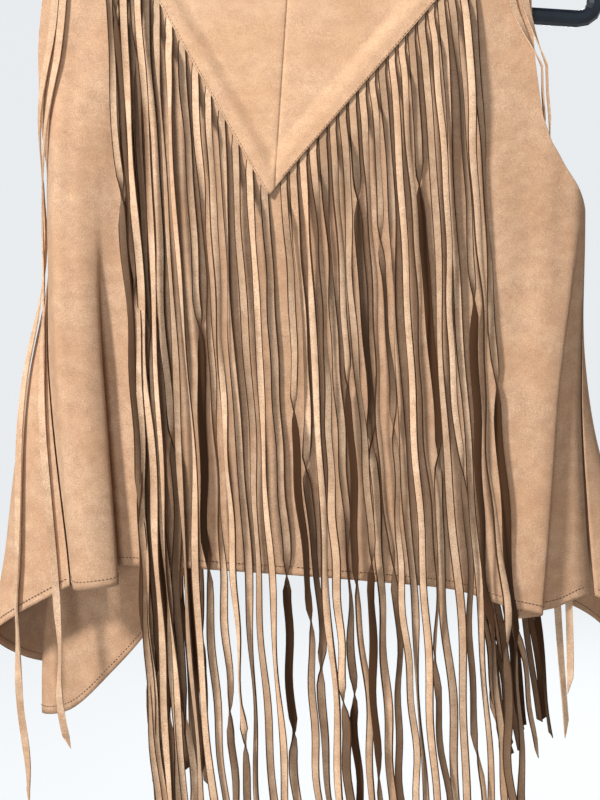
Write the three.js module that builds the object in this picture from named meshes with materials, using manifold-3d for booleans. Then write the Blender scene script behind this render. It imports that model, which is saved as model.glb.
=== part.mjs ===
// Fringed suede vest hanging on a tubular plastic hanger, back towards -Y.
// Millimetres, +Z up. The origin is the inner top of the hanger's hook, where a rod would bear.
//
// The cloth is described in the hanger's own tilted coordinates:
//   u  distance across, + to the right, 0 on the hanger's centre line
//   v  drop below the hanger's bottom bar, negative above it
//   y  depth, negative towards the back panel, which faces -Y
import * as THREE from 'three';
import { mergeVertices } from 'three/addons/utils/BufferGeometryUtils.js';
import Module from 'manifold-3d';

const wasm = await Module();
wasm.setup();

// ---- driving dimensions ----
const TILT = THREE.MathUtils.degToRad(7);      // the hanger hangs with its right end low
const HOOK_DROP = 190;                          // hook's inner top to the bottom bar
const LEAN_FULL = 120;                          // below this drop the cloth turns to hang plumb
const LEAN_EASE = 30;

const TUBE_R = 6;                               // hanger tube
const HOOK_WIRE_R = 4;
const HOOK_R = 21;                              // hook bend, to the middle of its wire
const CORNER_R = 12;
const BAR_HALF = 207;                           // bar's centre to the start of its corner
const ARM_RISE = THREE.MathUtils.degToRad(20);
const NECK_ROUND = 22;

const WALL = 1.4;                               // suede
const SEAM_GAP = 0.3;
const CLOTH_R = TUBE_R + 0.7 + WALL / 2;        // cloth's middle, round the hanger's arm
const NECK_HALF = 70;
const NECK_DIP = 26;
const SHOULDER_END = 168;
const BLEND_FROM = 9;                           // flat over the arm and the bar down to here
const CHEST = 138;                              // levels of the fold tables, as drops
const WAIST = 280;
const HEM = 430;
const HEM_EASE = 60;

const YOKE_POINT = { u: -4.4, v: 143.8 };
const YOKE_SLOPE = { right: 1.345, left: 1.545 };
const YOKE_LAP = 10;                            // panel and backing strip run on under the yoke
const YOKE_PROUD = 4.1;                         // yoke's edge stands over the strip
const PROUD_FULL = 12;
const PROUD_NONE = 34;
const FRONT_YOKE = { top: -36, slope: 1.35, from: SHOULDER_END - 16 };
const YOKE_RUNS = [24, 45, 60, NECK_HALF, 84, 98, 112];

const STRIP_WALL = 1.0;
const STRIP_OUT = 2.35;                         // strip's middle, out from the panel's middle
const STRIP_HIGH = 7;
const FRONT_LIFT = 1.4;                         // the front's fringe stands out so much more
const STRAND_WIDE = 6;
const STRAND_THICK = 1.1;
const STRAND_LAYER = 4.2;                       // one layer of strands to the next
const STRAND_CLEAR = 4.4;                       // innermost layer, out from the panel's middle
const SIDE_STRIP_DROP = -27;
const SIDE_STRAND_WIDE = 5.2;
const STRAND_STEPS = 5;
const ROOT_FLAT = 9;                            // a strand lies flat on the cloth down to here
const ROOT_FREE = 26;                           // and is out in its own layer so much lower
const FRINGE_END = -785;                        // z of the cut ends
const DEPTH_REACH = 18;                         // how near a fold must be to push a strand out
const BACK_STRANDS = 20;
const FRONT_STRANDS = 12;
const LAYERS = 3;
const SIDE_STRIP_RUNS = [150, 154, 158, 162, 166];
const SIDE_DRIFT = -8;                          // the right side's strands lean in so far

const FRONT_ARM_WIDE = 46;                      // front armhole's depth across the cloth
const FRONT_ARM_LEAN = 0.6;
const SEAM_SHARE = 0.05;                        // half the side seam's gap, as a share of a row
const BACK_ROWS = 8;
const YOKE_ROWS = 3;
const YOKE_LOWS = [34, 22, 12, 0];              // rows where the yoke's edge stands proud
const WRAP_ROWS = 3;
const ROW_CROWD = 1.4;                          // rows lie closer below the shoulder
const WRAP_STEP = 0.5;                          // radians of wrap between neighbouring lines
const WRAP_DEPTH = 4;
const STEPS_PER_ROW = 8;                        // steps that measure the cloth's run

const SUEDE = { color: 0xcaa477, roughness: 0.95, metalness: 0 };
const SUEDE_SHADE = { color: 0xb48d63, roughness: 0.95, metalness: 0 };
const BLACK_PLASTIC = { color: 0x15181c, roughness: 0.35, metalness: 0 };

// ---- fold tables: each row is a line of the cloth, from the centre back round to the front edge.
// chest, waist and hem are [u away from the centre, y]; drop is where the cut edge lies on it ----
const FOLDS = {
  left: [
    { name: 'centre_back', chest: [0, -14], waist: [0, -14], hem: [0, -14], drop: 411 },
    { name: 'mid_back', chest: [55, -13], waist: [52, -13], hem: [50, -13], drop: 411 },
    { name: 'valley', chest: [104, -11], waist: [99, -9], hem: [96, -8], drop: 412 },
    { name: 'under_pleat', chest: [122, -11], waist: [133, -5], hem: [144, -2], drop: 416 },
    { name: 'pleat_edge', chest: [129, -14], waist: [127, -15], hem: [124, -19], drop: 424 },
    { name: 'pleat_face', chest: [142, -17], waist: [141, -23], hem: [140, -26], drop: 428 },
    { name: 'ridge', chest: [156, -12], waist: [156, -20], hem: [154, -22], drop: 430 },
    { name: 'side_seam', chest: [170, 40], waist: [168, 0], hem: [159, -9], drop: 429 },
    { name: 'front_side', chest: [164, 57], waist: [184, 8], hem: [196, 2], drop: 452 },
    { name: 'turn', chest: [150, 64], waist: [189, 28], hem: [217, 18], drop: 473 },
    { name: 'far_side', chest: [138, 65], waist: [178, 52], hem: [208, 62], drop: 500 },
    { name: 'far_tuck', chest: [128, 64], waist: [154, 62], hem: [180, 82], drop: 513 },
    { name: 'behind_flap', chest: [120, 62], waist: [141, 57], hem: [168, 66], drop: 524 },
    { name: 'flap_fold', chest: [112, 60], waist: [144, 44], hem: [184, 42], drop: 536 },
    { name: 'flap_low', chest: [104, 57], waist: [132, 40], hem: [162, 31], drop: 528 },
    { name: 'flap_mid', chest: [96, 54], waist: [116, 38], hem: [135, 28], drop: 498 },
    { name: 'flap_end', chest: [88, 51], waist: [98, 38], hem: [108, 28], drop: 463 },
    { name: 'opening', chest: [79, 48], waist: [80, 39], hem: [79, 31], drop: 415 },
  ],
  right: [
    { name: 'centre_back', chest: [0, -14], waist: [0, -14], hem: [0, -14], drop: 411 },
    { name: 'mid_back', chest: [60, -14], waist: [58, -13], hem: [57, -13], drop: 412 },
    { name: 'fringe_side', chest: [120, -13], waist: [115, -13], hem: [112, -14], drop: 414 },
    { name: 'near_side', chest: [176, -12], waist: [158, -16], hem: [146, -22], drop: 422 },
    { name: 'fold_edge', chest: [212, -7], waist: [191, -15], hem: [171, -20], drop: 427 },
    { name: 'fold_inner', chest: [217, -3], waist: [180, -6], hem: [148, -9], drop: 433 },
    { name: 'third_layer', chest: [220, 1], waist: [198, -2], hem: [184, -3], drop: 424 },
    { name: 'side_seam', chest: [222, 6], waist: [212, 4], hem: [213, 1], drop: 414 },
    { name: 'front_side', chest: [220, 14], waist: [223, 14], hem: [244, 3], drop: 432 },
    { name: 'turn', chest: [213, 21], waist: [225, 30], hem: [268, 18], drop: 452 },
    { name: 'far_side', chest: [203, 25], waist: [217, 44], hem: [281, 50], drop: 474 },
    { name: 'far_tuck', chest: [193, 27], waist: [206, 53], hem: [264, 70], drop: 495 },
    { name: 'behind_flap', chest: [184, 28], waist: [197, 60], hem: [276, 90], drop: 520 },
    { name: 'flap_fold', chest: [175, 29], waist: [188, 64], hem: [262, 105], drop: 505 },
    { name: 'flap_low', chest: [165, 29], waist: [178, 62], hem: [236, 100], drop: 452 },
    { name: 'flap_mid', chest: [153, 28], waist: [165, 57], hem: [200, 88], drop: 430 },
    { name: 'flap_end', chest: [140, 27], waist: [152, 52], hem: [168, 76], drop: 414 },
    { name: 'opening', chest: [126, 26], waist: [138, 48], hem: [140, 68], drop: 396 },
  ],
};
const SEAM_ROW = 7;
const LAST_ROW = 17;

// armhole edge, back and front: how far it stands beyond the shoulder's end (as a share of the
// way to the side seam) and the drop there
const ARMHOLE = [
  { share: 0, v: -50 },
  { share: 0.01, v: -46.3 },
  { share: 0.02, v: -42.7 },
  { share: 0.03, v: -38.6 },
  { share: 0.07, v: -6 },
  { share: 0.14, v: 29 },
  { share: 0.27, v: 71 },
  { share: 0.4, v: 91 },
  { share: 0.58, v: 107 },
  { share: 0.8, v: 124 },
  { share: 1, v: CHEST },
];

// ---- small helpers ----
const lerp = THREE.MathUtils.lerp;
const smooth = (x, low, high) => THREE.MathUtils.smoothstep(x, low, high);
const sign = (side) => (side === 'left' ? -1 : 1);

/** Share that repeats for a whole number, between -1 and 1: uneven but always the same. */
function uneven(index, salt) {
  const wave = Math.sin(index * 12.9898 + salt * 78.233) * 43758.5453;
  return 2 * (wave - Math.floor(wave)) - 1;
}

/** Value at x on straight lines through rows' named columns. */
function tableAt(rows, column, value, x) {
  const next = rows.findIndex((row) => row[column] >= x);
  if (next < 0) return rows[rows.length - 1][value];
  if (next === 0) return rows[0][value];
  const a = rows[next - 1];
  const b = rows[next];
  return lerp(a[value], b[value], (x - a[column]) / (b[column] - a[column]));
}

// ---- from the hanger's coordinates to the part's ----
function leanDrop(v) {
  if (v <= LEAN_FULL) return v;
  return LEAN_FULL + LEAN_EASE * (1 - Math.exp(-(v - LEAN_FULL) / LEAN_EASE));
}

function place(u, v, y) {
  const along = HOOK_DROP + leanDrop(v);
  const x = Math.cos(TILT) * u - Math.sin(TILT) * along;
  const z = -Math.sin(TILT) * u - Math.cos(TILT) * (HOOK_DROP + v);
  return new THREE.Vector3(x, y, z);
}

/** Drop of the hanger arm's centre line at distance u from the middle. */
function armDrop(u) {
  const cornerU = BAR_HALF + CORNER_R * Math.sin(ARM_RISE);
  const cornerV = -CORNER_R * (1 + Math.cos(ARM_RISE));
  return cornerV - (cornerU - Math.abs(u)) * Math.tan(ARM_RISE);
}

// ---- the body surface ----
/** Smooth run through a row's chest, waist and hem values at drop v. */
function rowAt(row, axis, v) {
  const chest = row.chest[axis];
  const waist = row.waist[axis];
  const hem = row.hem[axis];
  const waistSlope = (hem - chest) / (HEM - CHEST);
  const hemSlope = (hem - waist) / (HEM - WAIST);
  if (v >= HEM) return hem + hemSlope * HEM_EASE * (1 - Math.exp(-(v - HEM) / HEM_EASE));
  const upper = v < WAIST;
  const low = upper ? CHEST : WAIST;
  const span = upper ? WAIST - CHEST : HEM - WAIST;
  const t = (v - low) / span;
  const a = upper ? chest : waist;
  const b = upper ? waist : hem;
  const slopeA = upper ? 0 : waistSlope;
  const slopeB = upper ? waistSlope : hemSlope;
  const t2 = t * t;
  const t3 = t2 * t;
  return (2 * t3 - 3 * t2 + 1) * a + (t3 - 2 * t2 + t) * span * slopeA
    + (3 * t2 - 2 * t3) * b + (t3 - t2) * span * slopeB;
}

/** Point [u, y] of the cloth's plan at drop v (chest or lower), p counting rows of the table. */
function planAt(side, p, v) {
  const rows = FOLDS[side];
  const points = rows.map((row) => new THREE.Vector3(rowAt(row, 0, v), rowAt(row, 1, v), 0));
  const curve = new THREE.CatmullRomCurve3(points, false, 'centripetal');
  const point = curve.getPoint(THREE.MathUtils.clamp(p / LAST_ROW, 0, 1));
  return [point.x, point.y];
}

/** Cloth distance at the chest from the centre back, for every small step of p. */
function chestDistances(side) {
  const distances = [{ p: 0, far: 0 }];
  let last = planAt(side, 0, CHEST);
  for (let i = 1; i <= LAST_ROW * STEPS_PER_ROW; i += 1) {
    const p = i / STEPS_PER_ROW;
    const here = planAt(side, p, CHEST);
    const far = distances[i - 1].far + Math.hypot(here[0] - last[0], here[1] - last[1]);
    distances.push({ p, far });
    last = here;
  }
  return distances;
}
const CHEST_RUN = { left: chestDistances('left'), right: chestDistances('right') };
const runAt = (side, p) => tableAt(CHEST_RUN[side], 'p', 'far', p);
const rowOfRun = (side, far) => tableAt(CHEST_RUN[side], 'far', 'p', far);

/** Across the shoulder, where the cloth's line p lies on the hanger's arm. */
function shoulderAcross(side, p) {
  const run = runAt(side, p);
  const seamRun = runAt(side, SEAM_ROW);
  if (p <= SEAM_ROW) return run;
  const fromSeam = run - seamRun;
  const whole = runAt(side, LAST_ROW) - seamRun;
  const past = fromSeam - FRONT_ARM_WIDE;
  if (past < 0) return SHOULDER_END - past * FRONT_ARM_LEAN;
  return lerp(SHOULDER_END, NECK_HALF, past / (whole - FRONT_ARM_WIDE));
}

/** Middle of the cloth at line p and drop v, in [u, v, y]; above the arm it wraps over the tube. */
function clothAt(side, p, v) {
  const across = shoulderAcross(side, p);
  const arm = armDrop(across);
  const face = p <= SEAM_ROW ? -1 : 1;
  if (v < arm) {
    const angle = Math.min((arm - v) / CLOTH_R, Math.PI / 2);
    const rise = (CLOTH_R / Math.cos(ARM_RISE)) * Math.sin(angle);
    return [across, arm - rise, face * CLOTH_R * Math.cos(angle)];
  }
  const [chestU, chestY] = planAt(side, p, Math.max(v, CHEST));
  if (v >= CHEST) return [chestU, v, chestY];
  const t = smooth(v, BLEND_FROM, CHEST);
  return [lerp(across, chestU, t), v, lerp(face * CLOTH_R, chestY, t)];
}

/** Point of the cloth in the part's frame, moved out by a distance along its outward normal. */
function skin(side, p, v, out = 0) {
  const at = (pp, vv) => {
    const [u, drop, y] = clothAt(side, pp, vv);
    return place(sign(side) * u, drop, y);
  };
  const point = at(p, v);
  if (out === 0) return point;
  const dp = 0.02;
  const across = at(Math.min(p + dp, LAST_ROW), v).sub(at(Math.max(p - dp, 0), v));
  const down = at(p, v + 0.5).sub(at(p, v - 0.5));
  const normal = new THREE.Vector3().crossVectors(across, down).normalize();
  if (side === 'left') normal.negate();
  return point.addScaledVector(normal, -out);
}

// ---- edges of the pieces ----
const WRAP_LENGTH = (CLOTH_R * Math.PI) / 2;

/** Virtual drop of the shoulder seam, on top of the hanger's arm. */
function shoulderTop(side, p) {
  return armDrop(shoulderAcross(side, p)) - WRAP_LENGTH + SEAM_GAP;
}

/** Drop of the back yoke's edge; its point lies a little to the left of the centre seam. */
function backYokeEdge(side, p) {
  const across = shoulderAcross(side, p) - sign(side) * YOKE_POINT.u;
  const slope = across < 0 ? -YOKE_SLOPE.right : YOKE_SLOPE[side];
  return YOKE_POINT.v - slope * across;
}

function frontYokeEdge(side, p) {
  const across = shoulderAcross(side, p);
  return FRONT_YOKE.top + FRONT_YOKE.slope * (FRONT_YOKE.from - across);
}

/** Row where a yoke's edge meets the arm, between a row inside the yoke and one outside it. */
function yokeEnd(side, edge, rowInside, rowOutside) {
  let inside = rowInside;
  let outside = rowOutside;
  for (let i = 0; i < 40; i += 1) {
    const middle = (inside + outside) / 2;
    if (edge(side, middle) > armDrop(shoulderAcross(side, middle))) inside = middle;
    else outside = middle;
  }
  return (inside + outside) / 2;
}

function armholeEdge(side, p) {
  const run = runAt(side, p);
  const seamRun = runAt(side, SEAM_ROW);
  const share = p <= SEAM_ROW
    ? (run - SHOULDER_END) / (seamRun - SHOULDER_END)
    : (seamRun + FRONT_ARM_WIDE - run) / FRONT_ARM_WIDE;
  return tableAt(ARMHOLE, 'share', 'v', THREE.MathUtils.clamp(share, 0, 1));
}

function hemEdge(side, p) {
  const rows = FOLDS[side];
  const points = rows.map((row, index) => new THREE.Vector3(index, row.drop, 0));
  return new THREE.CatmullRomCurve3(points).getPoint(p / LAST_ROW).y;
}

/** Neck edge: on top of the arm at the neck's side, then quickly down to a shallow dip. */
function neckEdge(side, p) {
  const across = shoulderAcross(side, p);
  const top = armDrop(NECK_HALF) - WRAP_LENGTH + SEAM_GAP;
  return top + NECK_DIP * (1 - Math.min(across / NECK_HALF, 1) ** 6);
}

// ---- solids ----
function geometryOf(positions, indices) {
  const geometry = new THREE.BufferGeometry();
  geometry.setAttribute('position', new THREE.Float32BufferAttribute(positions, 3));
  geometry.setIndex(indices);
  return geometry;
}

/** Turns the faces out where a mesh came inside out, by the sign of its volume. */
function facingOut(geometry) {
  const position = geometry.getAttribute('position');
  const index = geometry.getIndex().array;
  const corner = (i) => new THREE.Vector3().fromBufferAttribute(position, index[i]);
  let volume = 0;
  for (let i = 0; i < index.length; i += 3) {
    volume += corner(i).dot(corner(i + 1).cross(corner(i + 2)));
  }
  if (volume < 0) {
    for (let i = 0; i < index.length; i += 3) {
      [index[i + 1], index[i + 2]] = [index[i + 2], index[i + 1]];
    }
  }
  return geometry;
}

/**
 * Closed wall over a grid of points: columns[i][j] is the middle of the cloth. Each face lies half
 * the thickness out along the grid's own normal, and the four borders are closed.
 */
function wallGeometry(columns, thickness) {
  const across = columns.length;
  const down = columns[0].length;
  const positions = [];
  for (const face of [-1, 1]) {
    for (let i = 0; i < across; i += 1) {
      for (let j = 0; j < down; j += 1) {
        const left = columns[Math.max(i - 1, 0)][j];
        const right = columns[Math.min(i + 1, across - 1)][j];
        const above = columns[i][Math.max(j - 1, 0)];
        const below = columns[i][Math.min(j + 1, down - 1)];
        const normal = new THREE.Vector3().subVectors(right, left)
          .cross(new THREE.Vector3().subVectors(below, above)).normalize();
        const point = columns[i][j].clone().addScaledVector(normal, face * thickness / 2);
        positions.push(point.x, point.y, point.z);
      }
    }
  }
  const at = (face, i, j) => face * across * down + i * down + j;
  const indices = [];
  const quad = (a, b, c, d) => indices.push(a, b, c, a, c, d);
  for (let i = 0; i < across - 1; i += 1) {
    for (let j = 0; j < down - 1; j += 1) {
      quad(at(1, i, j), at(1, i + 1, j), at(1, i + 1, j + 1), at(1, i, j + 1));
      quad(at(0, i, j), at(0, i, j + 1), at(0, i + 1, j + 1), at(0, i + 1, j));
    }
    quad(at(1, i + 1, 0), at(1, i, 0), at(0, i, 0), at(0, i + 1, 0));
    quad(at(1, i, down - 1), at(1, i + 1, down - 1), at(0, i + 1, down - 1), at(0, i, down - 1));
  }
  for (let j = 0; j < down - 1; j += 1) {
    quad(at(1, 0, j), at(1, 0, j + 1), at(0, 0, j + 1), at(0, 0, j));
    quad(at(1, across - 1, j + 1), at(1, across - 1, j), at(0, across - 1, j), at(0, across - 1, j + 1));
  }
  return facingOut(geometryOf(positions, indices));
}

/** Tube of a flat or round section carried along points; sections[i] lists its corners. */
function sectionsGeometry(sections, closed) {
  const sides = sections[0].length;
  const positions = sections.flat().flatMap((corner) => [corner.x, corner.y, corner.z]);
  const indices = [];
  const rings = closed ? sections.length : sections.length - 1;
  for (let i = 0; i < rings; i += 1) {
    const here = i * sides;
    const next = ((i + 1) % sections.length) * sides;
    for (let k = 0; k < sides; k += 1) {
      const turn = (k + 1) % sides;
      indices.push(here + k, next + k, next + turn, here + k, next + turn, here + turn);
    }
  }
  if (!closed) {
    const end = (sections.length - 1) * sides;
    for (let k = 1; k < sides - 1; k += 1) {
      indices.push(0, k, k + 1, end, end + k + 1, end + k);
    }
  }
  return facingOut(geometryOf(positions, indices));
}

function solidOf(geometry) {
  const bare = mergeVertices(geometry.clone(), 1e-4);
  return new wasm.Manifold(new wasm.Mesh({
    numProp: 3,
    vertProperties: new Float32Array(bare.getAttribute('position').array),
    triVerts: new Uint32Array(bare.getIndex().array),
  }));
}

function joined(geometries) {
  const whole = geometries.map(solidOf).reduce((sum, solid) => sum.add(solid));
  const mesh = whole.getMesh();
  return geometryOf(Array.from(mesh.vertProperties), Array.from(mesh.triVerts));
}

const group = new THREE.Group();
function addNode(name, geometry, finish) {
  const mesh = new THREE.Mesh(geometry, new THREE.MeshStandardMaterial(finish));
  mesh.name = name;
  group.add(mesh);
}

/** Adds lines where a top edge climbs over the hanger's arm, so that no chord cuts the tube. */
function overTheArm(side, lines, topOf) {
  const angle = (p) => {
    const above = armDrop(shoulderAcross(side, p)) - topOf(side, p);
    return THREE.MathUtils.clamp(above / CLOTH_R, 0, Math.PI / 2);
  };
  const between = (a, b, depth) => {
    if (depth === 0 || Math.abs(angle(a) - angle(b)) < WRAP_STEP) return [b];
    const middle = (a + b) / 2;
    return [...between(a, middle, depth - 1), ...between(middle, b, depth - 1)];
  };
  return lines.flatMap((p, i) => (i === 0 ? [p] : between(lines[i - 1], p, WRAP_DEPTH)));
}

/**
 * Grid of a piece between a top and a bottom edge: close rows over the hanger's arm, even rows
 * below it and, where lows lists them, rows at those heights above the bottom edge.
 */
function pieceColumns(side, lines, rows, topOf, bottomOf, outOf = () => 0, lows = []) {
  return overTheArm(side, lines, topOf).map((p) => {
    const top = topOf(side, p);
    const bottom = bottomOf(side, p);
    const wrap = Math.min(WRAP_LENGTH, (bottom - top) / 3);
    const rest = bottom - top - wrap;
    const scale = lows.length > 0 ? Math.min(1, (rest * 0.6) / lows[0]) : 0;
    const even = bottom - (lows.length > 0 ? lows[0] * scale : 0);
    const drops = [
      ...linesBetween(top, top + wrap, WRAP_ROWS),
      ...linesBetween(0, 1, rows).slice(1).map((t) => lerp(top + wrap, even, t ** ROW_CROWD)),
      ...lows.slice(1).map((low) => bottom - low * scale),
    ];
    return drops.map((v) => skin(side, p, v, outOf(side, p, v)));
  });
}
/** Row numbers from one line to another in even steps. */
function linesBetween(from, to, count) {
  return Array.from({ length: count + 1 }, (_, i) => lerp(from, to, i / count));
}

// ---- back ----
const yokeEnds = {
  left: yokeEnd('left', backYokeEdge, 0, SEAM_ROW),
  right: yokeEnd('right', backYokeEdge, 0, SEAM_ROW),
};
const shoulderEnds = {
  left: rowOfRun('left', SHOULDER_END),
  right: rowOfRun('right', SHOULDER_END),
};

function backTop(side, p) {
  if (p > shoulderEnds[side]) return armholeEdge(side, p);
  const lap = backYokeEdge(side, p) - YOKE_LAP;
  return Math.max(lap, shoulderTop(side, p));
}

/** Lines at the armhole table's own shares of the way from the shoulder's end to the seam. */
function armholeLines(side, shoulder, seam) {
  const from = runAt(side, shoulder);
  const to = runAt(side, seam);
  return ARMHOLE.map((row) => rowOfRun(side, lerp(from, to, row.share)));
}

function backLines(side) {
  const seam = SEAM_ROW - SEAM_SHARE;
  const end = shoulderEnds[side];
  return [
    ...linesBetween(0, yokeEnds[side], 9),
    ...linesBetween(yokeEnds[side], end, 3).slice(1),
    ...armholeLines(side, end, seam).slice(1),
  ];
}

function backPanel() {
  const left = pieceColumns('left', backLines('left'), BACK_ROWS, backTop, hemEdge).reverse();
  const right = pieceColumns('right', backLines('right').slice(1), BACK_ROWS, backTop, hemEdge);
  return wallGeometry([...left, ...right], WALL);
}

/** How far the yoke stands out of the panel's surface: fully at its edge, easing to none. */
function yokeOut(edgeOf, proud = YOKE_PROUD) {
  return (side, p, v) => {
    const above = edgeOf(side, p) - v;
    return proud * (1 - smooth(above, PROUD_FULL, PROUD_NONE));
  };
}

function backYoke(side) {
  const top = (s, p) => Math.max(neckEdge(s, p), shoulderTop(s, p));
  const runs = [SEAM_GAP / 2, ...YOKE_RUNS, runAt(side, yokeEnds[side]) - 1];
  const lines = runs.map((run) => rowOfRun(side, run));
  const out = yokeOut(backYokeEdge);
  return wallGeometry(pieceColumns(side, lines, YOKE_ROWS, top, backYokeEdge, out, YOKE_LOWS), WALL);
}

// ---- fronts ----
const frontArmRow = (side) => rowOfRun(side, runAt(side, SEAM_ROW) + FRONT_ARM_WIDE);

function frontTop(side, p) {
  if (p < frontArmRow(side)) return armholeEdge(side, p);
  return Math.max(frontYokeEdge(side, p) - YOKE_LAP, shoulderTop(side, p));
}

function frontPanel(side) {
  const arm = frontArmRow(side);
  const lines = [
    ...armholeLines(side, arm, SEAM_ROW + SEAM_SHARE).reverse(),
    ...linesBetween(arm, LAST_ROW, 12).slice(1),
  ];
  return wallGeometry(pieceColumns(side, lines, BACK_ROWS, frontTop, hemEdge), WALL);
}

function frontYoke(side) {
  const start = yokeEnd(side, frontYokeEdge, LAST_ROW, frontArmRow(side));
  const lines = linesBetween(start + 0.05, LAST_ROW, 7);
  return wallGeometry(
    pieceColumns(side, lines, YOKE_ROWS, shoulderTop, frontYokeEdge,
      yokeOut(frontYokeEdge, YOKE_PROUD + FRONT_LIFT), YOKE_LOWS),
    WALL,
  );
}

// ---- fringe ----
/** Narrow strip that lies along a yoke's edge, on the panel and under the yoke. */
function stripGeometry(side, lines, edgeOf) {
  const columns = lines.map((p) => [0, 0.5, 1].map((t) => {
    const v = edgeOf(side, p) - STRIP_HIGH * (1 - t);
    return skin(side, p, v, STRIP_OUT);
  }));
  return wallGeometry(columns, STRIP_WALL);
}

/**
 * One strand: a flat four-sided ribbon that leaves its root on the strip, moves out to its own
 * layer and hangs plumb, swaying and turning a little on the way down.
 */
function strandGeometry(root, knee, flat, depthAt, strand) {
  const sections = [];
  const length = root.z - strand.end;
  const kneeDrop = root.z - knee.z;
  const freeDrop = kneeDrop + ROOT_FREE;
  const free = linesBetween(0, 1, STRAND_STEPS).slice(1);
  const drops = [0, kneeDrop, freeDrop, ...free.map((t) => lerp(freeDrop, length, t ** 1.8))];
  drops.forEach((drop, i) => {
    const t = drop / length;
    const settle = smooth(drop, kneeDrop, freeDrop * 1.5);
    const sway = strand.sway * Math.sin(strand.phase + strand.waves * Math.PI * 2 * t) * settle;
    const x = lerp(root.x, knee.x, Math.min(drop / kneeDrop, 1)) + strand.drift * t + sway;
    const ahead = drops[Math.min(i + 1, drops.length - 1)];
    const hung = depthAt(x, root.z - ahead);
    const y = [root.y, knee.y][i] ?? hung;
    const turn = strand.turn * Math.sin(strand.phase * 1.7 + strand.waves * 5 * t) * settle;
    const wide = i < 2 ? flat.clone() : new THREE.Vector3(Math.cos(turn), Math.sin(turn), 0);
    const thick = new THREE.Vector3(-wide.y, wide.x, 0).multiplyScalar(STRAND_THICK / 2);
    wide.multiplyScalar(strand.wide / 2);
    const centre = new THREE.Vector3(x, y, root.z - drop);
    const slant = i === drops.length - 1 ? strand.slant : 0;
    sections.push([[-1, -1], [1, -1], [1, 1], [-1, 1]].map(([a, b]) => centre.clone()
      .addScaledVector(wide, a).addScaledVector(thick, b)
      .add(new THREE.Vector3(0, 0, a * slant))));
  });
  return sectionsGeometry(sections, false);
}

/** Deepest the cloth reaches towards one side, at a place across and at or above a height. */
function clothDepth(side, from, to, face) {
  const samples = [];
  for (const p of linesBetween(from, to, 40)) {
    for (let v = 0; v <= hemEdge(side, p); v += 20) samples.push(skin(side, p, v));
  }
  return (x, z) => {
    let depth = face * CLOTH_R;
    for (const point of samples) {
      const near = Math.abs(point.x - x) < DEPTH_REACH && point.z > z - DEPTH_REACH;
      if (near) depth = face < 0 ? Math.min(depth, point.y) : Math.max(depth, point.y);
    }
    return depth;
  };
}

function fringe(side, lines, edgeOf, face, options) {
  const [from, to] = face < 0 ? [0, SEAM_ROW] : [SEAM_ROW, LAST_ROW];
  const depth = clothDepth(side, from, to, face);
  const parts = [stripGeometry(side, lines, edgeOf)];
  for (let i = 0; i < options.count; i += 1) {
    const p = lerp(lines[0], lines[lines.length - 1], (i + 0.5) / options.count);
    const layer = (i * options.layerStep + options.firstLayer) % LAYERS;
    const root = skin(side, p, edgeOf(side, p) - STRIP_HIGH * 0.45, STRIP_OUT);
    const out = STRAND_CLEAR + layer * STRAND_LAYER;
    const depthAt = (x, z) => depth(x, z) + face * out;
    const salt = options.salt;
    const knee = skin(side, p, edgeOf(side, p) - STRIP_HIGH * 0.45 + ROOT_FLAT, STRIP_OUT + options.lift);
    const flat = skin(side, p + sign(side) * 0.05, edgeOf(side, p))
      .sub(skin(side, p - sign(side) * 0.05, edgeOf(side, p))).setZ(0).multiplyScalar(-face).normalize();
    parts.push(strandGeometry(root, knee, flat, depthAt, {
      end: options.end + 14 * uneven(i, salt),
      sway: options.sway * (0.6 + 0.4 * uneven(i, salt + 1)),
      waves: 1.3 + 0.5 * uneven(i, salt + 2),
      phase: Math.PI * uneven(i, salt + 3),
      turn: 0.42 * uneven(i, salt + 4),
      wide: STRAND_WIDE * (1 + 0.08 * uneven(i, salt + 5)),
      slant: 3 * uneven(i, salt + 6),
      drift: options.drift,
    }));
  }
  return joined(parts);
}

function frontFringeLines(side) {
  const arm = frontArmRow(side);
  return linesBetween(lerp(arm, LAST_ROW, 0.38), LAST_ROW - 0.15, 8);
}

/** A strand that lies against the cloth from its strip down, then hangs plumb to its end. */
function clingingStrand(side, strand) {
  const alongs = [-31, -22, 0, 30, 60, 90, 120, 150, 190, 240, 290, 340, 390, strand.leaves]
    .map((v) => [lerp(strand.from, strand.to, smooth(v, strand.parts, strand.meets)), v]);
  const path = alongs.map(([p, v]) => skin(side, p, v, lerp(STRIP_OUT, strand.out, smooth(v, -31, 0))));
  const last = path[path.length - 1];
  const lower = (t) => new THREE.Vector3(last.x, last.y, lerp(last.z, strand.end, t));
  path.push(lower(0.35), lower(0.7), lower(1));
  const sections = path.map((centre, i) => {
    const step = Math.min(i, alongs.length - 1);
    const [p, v] = alongs[step];
    const wide = skin(side, p + 0.05, v).sub(skin(side, p - 0.05, v)).setZ(0).normalize();
    const thick = new THREE.Vector3(-wide.y, wide.x, 0).multiplyScalar(STRAND_THICK / 2);
    wide.multiplyScalar(SIDE_STRAND_WIDE / 2);
    return [[-1, -1], [1, -1], [1, 1], [-1, 1]].map(([a, b]) => centre.clone()
      .addScaledVector(wide, a).addScaledVector(thick, b));
  });
  return sectionsGeometry(sections, false);
}

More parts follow.
